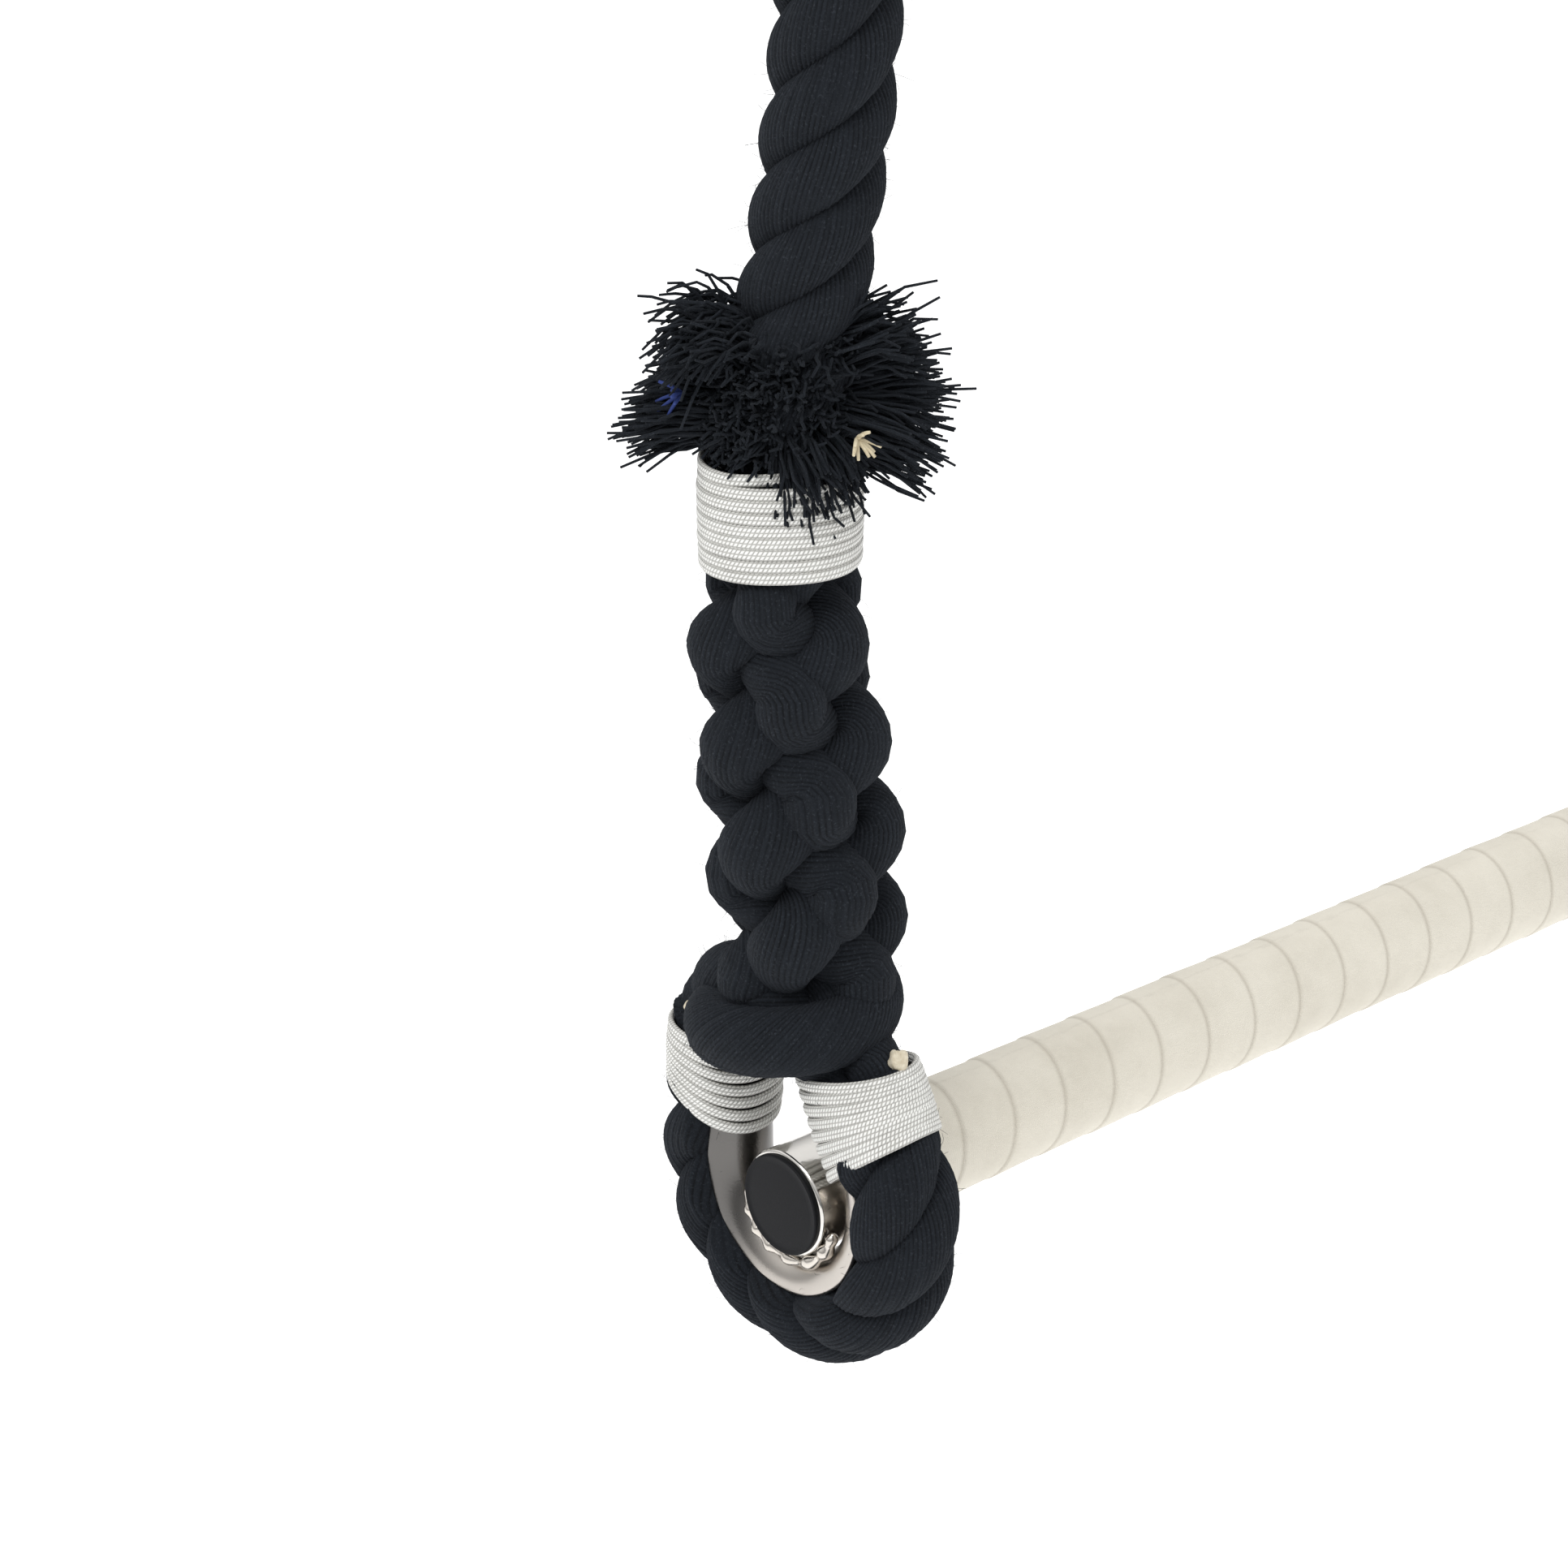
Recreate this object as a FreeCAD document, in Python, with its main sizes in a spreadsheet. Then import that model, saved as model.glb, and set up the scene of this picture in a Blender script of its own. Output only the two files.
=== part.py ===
import FreeCAD, Part
import math
import os
import Sketcher

# A circus trapeze: a taped steel bar hung by an eye splice round a welded thimble at each end, and
# two cotton ropes that end above in eye splices on bow shackles.
# Millimetres. X runs along the bar from the left rope to the right one, Y is fore and aft, Z is up.
# The origin is on the left shackle's bolt axis, above the left rope.

V = FreeCAD.Vector
doc = FreeCAD.newDocument("Trapeze")
sheet = doc.addObject("Spreadsheet::Sheet", "Sizes")

drivingSizes = {
    "ropeSpacing": 600,         # between the two ropes
    "eyeDistance": 600,         # from the bar's axis up to the middle of the top eye
    "topEyeDepth": 96,          # from the shackle bolt's axis down to the middle of the top eye
    "barRadius": 14.3,
    "barWall": 3,
    "barOverhang": 12,          # from the rope's middle plane out to the plug's face
    "barChamfer": 0.8,
    "plugFlange": 1.5,
    "plugRadius": 13.5,
    "plugStem": 18,
    "plugBore": 8.3,
    "tapeMargin": 24,           # bare steel from the rope's middle plane to the tape
    "tapeThickness": 0.8,
    "eyeRise": 1,               # the eye's round bottom is centred this far above the bar's axis
    "pathRadius": 26.3,         # middle of the thimble's gutter, round the eye
    "gutterRadius": 11.5,
    "gutterWall": 2,
    "gutterTrim": 1.8,          # the rims stop this far short of the gutter's middle
    "thimbleTop": 26,
    "frontLean": 25,            # the front leg leans in towards the throat
    "rearLean": -3,             # the rear leg stands almost upright
    "eyeRopeRadius": 15,
    "eyeRopeOffset": 5.8,
    "groovePlay": 0.3,
    "eyeRopeTop": 44,
    "weldRadius": 2.4,
    "weldInset": 4.5,           # the bead's middle, in from the plug's face
    "weldTurn": 160,            # degrees of the bar's rim that the bead follows
    "legWhipStart": 3,
    "legWhipLength": 27,
    "legWhipAcross": 16.8,
    "legWhipDeep": 18.6,
    "legWhipOffset": 4.7,
    "throatGap": 48,            # underside of the splice above the bar's axis
    "spliceShift": 4,           # the splice sits a little behind the bar's axis
    "spliceCone": 6,
    "spliceFoot": 27,
    "spliceWaist": 24.5,
    "spliceNeck": 21.5,
    "overcut": 1,               # how far a cutting shape runs past what it cuts
    "levelWidth": 200,          # the block that cuts an eye off level
    "levelHeight": 60,
    "spliceTip": 0.5,           # radius of the splice's lowest point
    "tasselTaper": 3,           # lost from the tassel's radius over its middle third
    "weldClear": 0.8,           # middle of the weld outside the tube
    "faceCut": 20,              # depth of the cutters that face the ears
    "boltBore": 120,            # length of the cutter for the bolt's bore
    "cotterBore": 40,           # length of the cutter for the cotter's hole
    "jawRelief": 2,             # how far the flat of the jaw reaches past an ear
    "splicedLength": 118,       # from its underside to the whipping
    "whippedRadius": 17.6,
    "whipRadius": 20,
    "whipLength": 29,
    "tasselLength": 54,
    "tasselFoot": 30,
    "tasselRadius": 46,
    "tasselTip": 24,
    "tasselBore": 15.4,
    "ropeRadius": 15,
    "boltRadius": 11,
    "boltPlay": 0.06,
    "wireRadius": 9.5,
    "jawWidth": 32,
    "earRadius": 23,
    "earThickness": 19,
    "bowRadius": 35,            # of the wire's middle line
    "bowDepth": 57,             # from the bolt's axis down to the bow's round centre
    "sideGap": 0.4,             # between an ear and the bolt's head or nut
    "headHeight": 12,
    "hexRadius": 19.6,
    "nutHeight": 17,
    "boltTail": 12,
    "cotterRadius": 1.9,
    "cotterHole": 2.2,
    "cotterLength": 32,
    "cotterRing": 4.6,
    "cotterSpread": 35,         # degrees that each end is bent out
}
for row, (alias, value) in enumerate(drivingSizes.items(), start=1):
    sheet.set("A%d" % row, alias)
    sheet.set("B%d" % row, str(value))
    sheet.setAlias("B%d" % row, alias)
doc.recompute()

subParts = []


def size(alias):
    return float(sheet.get(alias))


def name(kind):
    # a free internal name; the Label carries the sub-part's own name
    return kind + "%03d" % len(doc.Objects)


def bind(item, **formulas):
    for prop, formula in formulas.items():
        item.setExpression(prop, formula)
    return item


def keep(label, item):
    item.Label = label
    subParts.append(item)
    return item


def cylinder(place, pos, turn, radius, height):
    item = doc.addObject("Part::Cylinder", name("Cylinder"))
    item.Placement = place.multiply(FreeCAD.Placement(pos, turn))
    return bind(item, Radius=radius, Height=height)


def cone(place, pos, low, high, height):
    item = doc.addObject("Part::Cone", name("Cone"))
    item.Placement = place.multiply(FreeCAD.Placement(pos, FreeCAD.Rotation()))
    return bind(item, Radius1=low, Radius2=high, Height=height)


def prism(place, pos, turn, height):
    item = doc.addObject("Part::Prism", name("Prism"))
    item.Polygon = 6
    item.Placement = place.multiply(FreeCAD.Placement(pos, turn))
    return bind(item, Circumradius="Sizes.hexRadius", Height=height)


def cut(base, tool):
    item = doc.addObject("Part::Cut", name("Cut"))
    item.Base = base
    item.Tool = tool
    return item


def fuse(*shapes):
    item = doc.addObject("Part::MultiFuse", name("Fuse"))
    item.Shapes = list(shapes)
    return item


alongX = FreeCAD.Rotation(V(0, 1, 0), 90)
upright = FreeCAD.Rotation()
acrossBar = FreeCAD.Rotation(V(1, 1, 1), 120)      # sketch x to Y, sketch y to Z, normal to X


# sketches and sweeps

def freeSketch(place):
    sketch = doc.addObject("Sketcher::SketchObject", name("Sketch"))
    sketch.Placement = place
    return sketch


def joinEnds(sketch, pairs):
    # each pair: geometry and its point (1 start, 2 end), twice
    for first, firstEnd, second, secondEnd in pairs:
        sketch.addConstraint(Sketcher.Constraint("Coincident", first, firstEnd, second, secondEnd))


def boundRadius(sketch, geometry, formula):
    index = sketch.addConstraint(Sketcher.Constraint("Radius", geometry, sketch.Geometry[geometry].Radius))
    sketch.setExpression("Constraints[%d]" % index, formula)


def legAngles():
    # where the round of the eye meets its straight front and rear legs
    front = math.pi - math.radians(size("frontLean"))
    rear = math.radians(size("rearLean"))
    return front, rear


def leg(sideways, height):
    # foot, top end and direction of the middle line of the front (-1) or rear (+1) leg, in the Y, Z plane
    front, rear = legAngles()
    angle = front if sideways < 0 else rear
    lean = math.radians(size("frontLean" if sideways < 0 else "rearLean"))
    foot = V(math.cos(angle), math.sin(angle), 0) * size("pathRadius")
    upward = V(-sideways * math.sin(lean), math.cos(lean), 0)
    return foot, foot + upward * ((height - foot.y) / upward.y), upward


def eyePath(place, height):
    # the U round the eye: front leg down, round under the bar, rear leg up, up to the given height
    front, rear = legAngles()
    frontFoot, frontTop, upward = leg(-1, height)
    rearFoot, rearTop, upward = leg(1, height)
    sketch = freeSketch(place.multiply(FreeCAD.Placement(V(0, 0, size("eyeRise")), acrossBar)))
    circle = Part.Circle(V(), V(0, 0, 1), size("pathRadius"))
    sketch.addGeometry(Part.LineSegment(frontTop, frontFoot))
    sketch.addGeometry(Part.ArcOfCircle(circle, front, rear + 2 * math.pi))
    sketch.addGeometry(Part.LineSegment(rearFoot, rearTop))
    joinEnds(sketch, [(0, 2, 1, 1), (1, 2, 2, 1)])
    boundRadius(sketch, 1, "Sizes.pathRadius")
    return sketch


def acrossLeg(place, sideways, height):
    # a plane square to a leg at its top: sketch x points out of the eye, sketch y along the bar
    foot, top, upward = leg(sideways, height)
    outward = V(0, sideways * upward.y, -sideways * upward.x)
    turn = FreeCAD.Rotation(outward, V(1, 0, 0), outward.cross(V(1, 0, 0)), "ZXY")
    return place.multiply(FreeCAD.Placement(V(0, top.x, top.y + size("eyeRise")), turn))


def bandProfile(place):
    # the thimble's gutter: two arcs open to the outside of the eye
    outer = size("gutterRadius")
    inner = outer - size("gutterWall")
    trim = size("gutterTrim")
    sketch = freeSketch(place)
    for radius in (outer, inner):
        angle = math.acos(-trim / radius)
        sketch.addGeometry(Part.ArcOfCircle(Part.Circle(V(), V(0, 0, 1), radius), angle, 2 * math.pi - angle))
    for end in ("StartPoint", "EndPoint"):
        first = getattr(sketch.Geometry[0], end)
        second = getattr(sketch.Geometry[1], end)
        sketch.addGeometry(Part.LineSegment(first, second))
    joinEnds(sketch, [(0, 1, 2, 1), (1, 1, 2, 2), (0, 2, 3, 1), (1, 2, 3, 2)])
    boundRadius(sketch, 0, "Sizes.gutterRadius")
    boundRadius(sketch, 1, "Sizes.gutterRadius - Sizes.gutterWall")
    return sketch


def ropeProfile(place):
    # rope bedded in the gutter: narrow inside the rims, full and round outside them
    narrow = size("gutterRadius") - size("gutterWall") - size("groovePlay")
    full = size("eyeRopeRadius")
    offset = size("eyeRopeOffset")
    step = size("groovePlay") - size("gutterTrim")
    narrowHalf = math.sqrt(narrow ** 2 - step ** 2)
    fullHalf = math.sqrt(full ** 2 - (offset - step) ** 2)
    sketch = freeSketch(place)
    sketch.addGeometry(Part.Arc(V(step, narrowHalf, 0), V(-narrow, 0, 0), V(step, -narrowHalf, 0)))
    sketch.addGeometry(Part.LineSegment(V(step, -narrowHalf, 0), V(step, -fullHalf, 0)))
    sketch.addGeometry(Part.Arc(V(step, -fullHalf, 0), V(offset + full, 0, 0), V(step, fullHalf, 0)))
    sketch.addGeometry(Part.LineSegment(V(step, fullHalf, 0), V(step, narrowHalf, 0)))
    boundRadius(sketch, 2, "Sizes.eyeRopeRadius")
    return sketch


def sweep(profile, path, edges):
    item = doc.addObject("Part::Sweep", name("Sweep"))
    item.Sections = [profile]
    item.Spine = (path, ["Edge%d" % (k + 1) for k in range(edges)])
    item.Solid = True
    item.Frenet = False
    return item


# one eye: thimble, rope, whippings, splice, tassel

def thimble(place):
    height = size("thimbleTop")
    return sweep(bandProfile(acrossLeg(place, -1, height)), eyePath(place, height), 3)


def levelled(place, item):
    # cut level at the top of the eye, so that the throat can bend over it
    above = doc.addObject("Part::Box", name("Box"))
    corner = V(-size("levelWidth") / 2, -size("levelWidth") / 2, size("eyeRopeTop"))
    above.Placement = place.multiply(FreeCAD.Placement(corner, upright))
    bind(above, Length="Sizes.levelWidth", Width="Sizes.levelWidth", Height="Sizes.levelHeight")
    return cut(item, above)


def eyeRope(place):
    height = size("eyeRopeTop") + size("legWhipStart") * 4
    loop = sweep(ropeProfile(acrossLeg(place, -1, height)), eyePath(place, height), 3)
    return levelled(place, loop)


def legWhipping(place, sideways, inside):
    # an oval band round one leg, bored to fit the rope and thimble that it binds
    start = size("eyeRopeTop") - size("legWhipStart")
    plane = acrossLeg(place, sideways, start - size("eyeRise"))
    sketch = freeSketch(plane)
    centre = V(size("legWhipOffset"), 0, 0)
    sketch.addGeometry(Part.Ellipse(centre, size("legWhipDeep"), size("legWhipAcross")))
    band = doc.addObject("Part::Extrusion", name("Extrusion"))
    band.Base = sketch
    band.DirMode = "Normal"
    band.Solid = True
    # the sketch's normal points up one leg and down the other; the band always runs down the leg
    upLeg = plane.Rotation.multVec(V(0, 0, 1)).dot(place.Rotation.multVec(V(0, 0, 1)))
    band.Reversed = upLeg > 0
    bind(band, LengthFwd="Sizes.legWhipLength")
    return levelled(place, cut(cut(band, inside[0]), inside[1]))


def splice(place):
    foot = V(0, size("spliceShift"), size("throatGap"))
    coneTop = foot + V(0, 0, size("spliceCone"))
    third = size("splicedLength") / 4
    body = size("splicedLength") - size("spliceCone") - third
    waistAt = coneTop + V(0, 0, third)
    neckAt = waistAt + V(0, 0, body)
    low = cone(place, foot, "Sizes.spliceTip", "Sizes.spliceFoot", "Sizes.spliceCone")
    wide = cone(place, coneTop, "Sizes.spliceFoot", "Sizes.spliceWaist", "Sizes.splicedLength / 4")
    long = cone(place, waistAt, "Sizes.spliceWaist", "Sizes.spliceNeck",
                "Sizes.splicedLength * 3 / 4 - Sizes.spliceCone")
    neck = cylinder(place, neckAt, upright, "Sizes.whippedRadius", "Sizes.whipLength")
    return fuse(low, wide, long, neck)


def roundWhipping(place):
    foot = V(0, size("spliceShift"), size("throatGap") + size("splicedLength"))
    outside = cylinder(place, foot, upright, "Sizes.whipRadius", "Sizes.whipLength")
    inside = cylinder(place, foot, upright, "Sizes.whippedRadius", "Sizes.whipLength")
    return cut(outside, inside)


def tassel(place):
    foot = V(0, size("spliceShift"), size("throatGap") + size("splicedLength") + size("whipLength"))
    third = size("tasselLength") / 3
    flare = cone(place, foot, "Sizes.tasselFoot", "Sizes.tasselRadius", "Sizes.tasselLength / 3")
    brush = cone(place, foot + V(0, 0, third), "Sizes.tasselRadius", "Sizes.tasselRadius - Sizes.tasselTaper",
                 "Sizes.tasselLength / 3")
    tip = cone(place, foot + V(0, 0, 2 * third), "Sizes.tasselRadius - Sizes.tasselTaper", "Sizes.tasselTip",
               "Sizes.tasselLength / 3")
    bore = cylinder(place, foot - V(0, 0, size("overcut")), upright, "Sizes.tasselBore",
                    "Sizes.tasselLength + 2 * Sizes.overcut")
    return cut(fuse(flare, brush, tip), bore)


def eye(prefix, thimbleLabel, place):
    gutter = keep(thimbleLabel, thimble(place))
    rope = keep(prefix + "_eye_rope", eyeRope(place))
    for label, sideways in (("_front_leg_whipping", -1), ("_rear_leg_whipping", 1)):
        keep(prefix + label, legWhipping(place, sideways, (rope, gutter)))
    keep(prefix + "_splice", splice(place))
    keep(prefix + "_splice_whipping", roundWhipping(place))
    keep(prefix + "_tassel", tassel(place))
    return gutter


# the bar

def originPlane(body, role):
    return [part for part in body.Origin.OriginFeatures if part.Role == role][0]


def barTube(place):
    # a drawn tube: padded ring, chamfered at its outer corners
    body = doc.addObject("PartDesign::Body", name("Body"))
    ring = body.newObject("Sketcher::SketchObject", name("Sketch"))
    ring.AttachmentSupport = (originPlane(body, "YZ_Plane"), [""])
    ring.MapMode = "FlatFace"
    for radius, formula in ((size("barRadius"), "Sizes.barRadius"),
                            (size("barRadius") - size("barWall"), "Sizes.barRadius - Sizes.barWall")):
        index = ring.addGeometry(Part.Circle(V(), V(0, 0, 1), radius))
        ring.addConstraint(Sketcher.Constraint("Coincident", index, 3, -1, 1))
        boundRadius(ring, index, formula)
    pad = body.newObject("PartDesign::Pad", name("Pad"))
    pad.Profile = ring
    bind(pad, Length="Sizes.ropeSpacing + 2 * (Sizes.barOverhang - Sizes.plugFlange)")
    doc.recompute()
    rims = []
    for index, edge in enumerate(pad.Shape.Edges, start=1):
        if edge.Curve.TypeId == "Part::GeomCircle" and edge.Curve.Radius > size("barRadius") - 0.1:
            rims.append("Edge%d" % index)
    chamfer = body.newObject("PartDesign::Chamfer", name("Chamfer"))
    chamfer.Base = (pad, rims)
    bind(chamfer, Size="Sizes.barChamfer")
    body.Tip = chamfer
    body.Placement = place.multiply(FreeCAD.Placement(V(size("plugFlange") - size("barOverhang"), 0, 0), upright))
    return body


def endPlug(place):
    # flat flange over the tube's end on a hollow push-in stem
    inside = "Sizes.barRadius - Sizes.barWall"
    flange = cylinder(place, V(), alongX, "Sizes.plugRadius", "Sizes.plugFlange")
    stem = cylinder(place, V(), alongX, inside, "Sizes.plugStem")
    bore = cylinder(place, V(size("plugFlange") + size("overcut"), 0, 0), alongX, "Sizes.plugBore", "Sizes.plugStem")
    return cut(fuse(flange, stem), bore)


def gripTape(place):
    length = "Sizes.ropeSpacing - 2 * Sizes.tapeMargin"
    start = V(size("tapeMargin"), 0, 0)
    outside = cylinder(place, start, alongX, "Sizes.barRadius + Sizes.tapeThickness", length)
    inside = cylinder(place, start, alongX, "Sizes.barRadius", length)
    return cut(outside, inside)


def weldBead(place, outward, gutter, tube):
    # a fillet of weld round the bar's lower half where it sits in the thimble
    bead = doc.addObject("Part::Torus", name("Torus"))
    bead.Angle3 = size("weldTurn")
    across = outward * (size("barOverhang") - size("weldInset"))
    start = FreeCAD.Rotation(V(1, 0, 0), 270 - size("weldTurn") / 2)
    bead.Placement = place.multiply(FreeCAD.Placement(V(across, 0, 0), start.multiply(acrossBar)))
    bind(bead, Radius1="Sizes.barRadius + Sizes.weldClear", Radius2="Sizes.weldRadius")
    return cut(cut(bead, gutter), tube)


# the shackles

def shackleBow(place):
    # a round bow forged from one bar, with an ear at each end bored for the bolt
    ear = size("jawWidth") / 2 + size("earThickness") / 2
    depth = size("bowDepth")
    radius = size("bowRadius")
    reach = math.hypot(ear, depth)
    # the leg is tangent to the round: the angle at the round's centre between ear and tangent point
    turn = math.acos(radius / reach)
    touch = math.atan2(depth, ear) - turn
    touchPoint = V(radius * math.cos(touch), radius * math.sin(touch) - depth, 0)
    facing = FreeCAD.Rotation(V(1, 0, 0), 90)      # sketch x to X, sketch y to Z
    path = freeSketch(place.multiply(FreeCAD.Placement(V(), facing)))
    path.addGeometry(Part.LineSegment(V(ear, 0, 0), touchPoint))
    circle = Part.Circle(V(0, -depth, 0), V(0, 0, 1), radius)
    path.addGeometry(Part.ArcOfCircle(circle, math.pi - touch, 2 * math.pi + touch))
    path.addGeometry(Part.LineSegment(V(-touchPoint.x, touchPoint.y, 0), V(-ear, 0, 0)))
    joinEnds(path, [(0, 2, 1, 2), (1, 1, 2, 1)])
    boundRadius(path, 1, "Sizes.bowRadius")
    along = V(touchPoint.x - ear, 0, touchPoint.y)
    ring = freeSketch(place.multiply(FreeCAD.Placement(V(ear, 0, 0), FreeCAD.Rotation(V(0, 0, 1), along))))
    ring.addGeometry(Part.Circle(V(), V(0, 0, 1), size("wireRadius")))
    boundRadius(ring, 0, "Sizes.wireRadius")
    wire = sweep(ring, path, 3)
    ears = []
    for start in (-size("jawWidth") / 2 - size("earThickness"), size("jawWidth") / 2):
        ears.append(cylinder(place, V(start, 0, 0), alongX, "Sizes.earRadius", "Sizes.earThickness"))
    # the jaw's sides and the ears' outer faces are machined flat, so the head and nut have room
    jaw = cylinder(place, V(-size("jawWidth") / 2, 0, 0), alongX, "Sizes.earRadius + Sizes.jawRelief", "Sizes.jawWidth")
    outerFace = size("jawWidth") / 2 + size("earThickness")
    leftFace = cylinder(place, V(-outerFace - size("faceCut"), 0, 0), alongX, "Sizes.earRadius", "Sizes.faceCut")
    rightFace = cylinder(place, V(outerFace, 0, 0), alongX, "Sizes.earRadius", "Sizes.faceCut")
    bore = cylinder(place, V(-outerFace - size("faceCut"), 0, 0), alongX, "Sizes.boltRadius + Sizes.boltPlay",
                    "Sizes.boltBore")
    return cut(fuse(wire, *ears), fuse(jaw, leftFace, rightFace, bore))


def headFace():
    return size("jawWidth") / 2 + size("earThickness") + size("sideGap")


def cotterAt():
    return headFace() + size("nutHeight") + size("boltTail") / 2


def shackleBolt(place):
    head = prism(place, V(-headFace() - size("headHeight"), 0, 0), alongX, "Sizes.headHeight")
    length = "Sizes.jawWidth + 2 * (Sizes.earThickness + Sizes.sideGap) + Sizes.nutHeight + Sizes.boltTail"
    shank = cylinder(place, V(-headFace(), 0, 0), alongX, "Sizes.boltRadius", length)
    hole = cylinder(place, V(cotterAt(), 0, -size("cotterBore") / 2), upright, "Sizes.cotterHole", "Sizes.cotterBore")
    return cut(fuse(head, shank), hole)


def shackleNut(place):
    block = prism(place, V(headFace(), 0, 0), alongX, "Sizes.nutHeight")
    thread = cylinder(place, V(headFace() - size("overcut"), 0, 0), alongX, "Sizes.boltRadius",
                      "Sizes.nutHeight + 2 * Sizes.overcut")
    return cut(block, thread)


def shackleCotter(place):
    # split pin: a straight pin with a ring above and its two ends turned out along the bolt
    length = size("cotterLength")
    middle = V(cotterAt(), 0, 0)
    pin = cylinder(place, middle - V(0, 0, length / 2), upright, "Sizes.cotterRadius", "Sizes.cotterLength")
    ring = doc.addObject("Part::Torus", name("Torus"))
    ringAt = middle + V(0, 0, length / 2 + size("cotterRing") - size("overcut"))
    ring.Placement = place.multiply(FreeCAD.Placement(ringAt, FreeCAD.Rotation(V(1, 0, 0), 90)))
    bind(ring, Radius1="Sizes.cotterRing", Radius2="Sizes.cotterRadius * 0.8")
    legs = []
    for outward in (-1, 1):
        turn = FreeCAD.Rotation(V(0, 1, 0), 180 + outward * size("cotterSpread"))
        foot = middle - V(0, 0, length / 2 - size("overcut"))
        legs.append(cylinder(place, foot, turn, "Sizes.cotterRadius * 0.8", "Sizes.cotterLength / 3"))
    return fuse(pin, ring, *legs)


# the whole trapeze

barHeight = -size("topEyeDepth") - size("eyeDistance")
over = FreeCAD.Rotation(V(0, 1, 0), 180)           # turns an eye upside down

barPlace = FreeCAD.Placement(V(0, 0, barHeight), upright)
tube = keep("bar_tube", barTube(barPlace))
keep("grip_tape", gripTape(barPlace))

for side, across, outward in (("left", 0, -1), ("right", size("ropeSpacing"), 1)):
    low = FreeCAD.Placement(V(across, 0, barHeight), upright)
    top = FreeCAD.Placement(V(across, 0, -size("topEyeDepth")), over)
    gutter = eye(side, side + "_bar_thimble", low)
    keep(side + "_weld_bead", weldBead(low, outward, gutter, tube))
    plugTurn = upright if outward < 0 else FreeCAD.Rotation(V(0, 0, 1), 180)
    plugAt = FreeCAD.Placement(V(across + outward * size("barOverhang"), 0, barHeight), plugTurn)
    keep(side + "_end_plug", endPlug(plugAt))

    eye(side + "_top", side + "_top_thimble", top)
    ropeStart = size("throatGap") + size("splicedLength") + size("whipLength")
    ropeLength = "Sizes.eyeDistance - 2 * (Sizes.throatGap + Sizes.splicedLength + Sizes.whipLength)"
    ropeFoot = V(0, size("spliceShift"), ropeStart)
    keep(side + "_rope", cylinder(low, ropeFoot, upright, "Sizes.ropeRadius", ropeLength))

    pinPlace = FreeCAD.Placement(V(across, 0, 0), upright)
    keep(side + "_shackle_bow", shackleBow(pinPlace))
    keep(side + "_shackle_bolt", shackleBolt(pinPlace))
    keep(side + "_shackle_nut", shackleNut(pinPlace))
    keep(side + "_shackle_cotter", shackleCotter(pinPlace))

doc.recompute()

for item in doc.Objects:
    if "Invalid" in item.State or "Error" in item.State:
        raise RuntimeError("%s (%s) did not build" % (item.Label, item.Name))
for item in subParts:
    if item.Shape.isNull() or not item.Shape.isValid() or not item.Shape.Solids:
        raise RuntimeError("%s has no valid solid" % item.Label)

# the rope's straight tube against its section times its length
for item in subParts:
    if item.Label in ("left_rope", "right_rope"):
        plain = math.pi * size("ropeRadius") ** 2 * item.Shape.BoundBox.ZLength
        print("%s: one straight run, volume ratio %.5f" % (item.Label, item.Shape.Volume / plain))

os.makedirs("parts", exist_ok=True)
for item in subParts:
    item.Shape.exportStep("parts/%s.step" % item.Label)
    print("%-28s %9.1f mm3, %d solid(s)" % (item.Label, item.Shape.Volume, len(item.Shape.Solids)))
print("%d sub-parts" % len(subParts))
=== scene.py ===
# A trapeze: two spliced cotton ropes on shackles, and a taped steel bar between them.
# Shapes are worked out in millimetres round each eye and put in place in metres at the end.
import math
import bmesh
import bpy
import numpy as np
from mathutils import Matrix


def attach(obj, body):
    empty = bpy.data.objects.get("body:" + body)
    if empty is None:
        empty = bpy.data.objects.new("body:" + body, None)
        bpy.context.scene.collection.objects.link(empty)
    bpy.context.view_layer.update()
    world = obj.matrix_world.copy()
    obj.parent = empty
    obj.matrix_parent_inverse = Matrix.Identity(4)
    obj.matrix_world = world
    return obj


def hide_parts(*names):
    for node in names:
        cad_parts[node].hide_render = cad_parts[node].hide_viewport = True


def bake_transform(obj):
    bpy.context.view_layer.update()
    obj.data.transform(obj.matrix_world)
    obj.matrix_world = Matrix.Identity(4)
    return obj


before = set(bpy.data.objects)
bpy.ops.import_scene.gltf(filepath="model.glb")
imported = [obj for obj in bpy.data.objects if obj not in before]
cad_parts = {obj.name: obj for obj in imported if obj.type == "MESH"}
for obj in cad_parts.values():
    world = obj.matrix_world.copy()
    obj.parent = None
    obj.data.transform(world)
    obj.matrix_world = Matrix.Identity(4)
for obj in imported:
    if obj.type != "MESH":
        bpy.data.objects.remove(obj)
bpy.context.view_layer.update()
metre = 0.001  # one millimetre in metres
barHeight = -696.0  # bar axis
hangerHeight = -96.0  # middle of the upper eyes
ropeSpacing = 600.0

cameraView = {
    "place": (-0.6064, -0.6623, -0.2062), "heading": 41.98, "down": 22.82, "lens": 91.95, "film": 36.0,
    "near": 0.02, "far": 100.0,
}


def placeCamera(view):
    lens = bpy.data.cameras.new("camera")
    lens.lens = view["lens"]
    lens.sensor_width = view["film"]
    lens.clip_start = view["near"]
    lens.clip_end = view["far"]
    camera = bpy.data.objects.new("camera", lens)
    bpy.context.scene.collection.objects.link(camera)
    camera.location = view["place"]
    camera.rotation_euler = (math.radians(90 - view["down"]), 0, math.radians(-view["heading"]))
    bpy.context.scene.camera = camera


placeCamera(cameraView)
print("camera placed")


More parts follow.
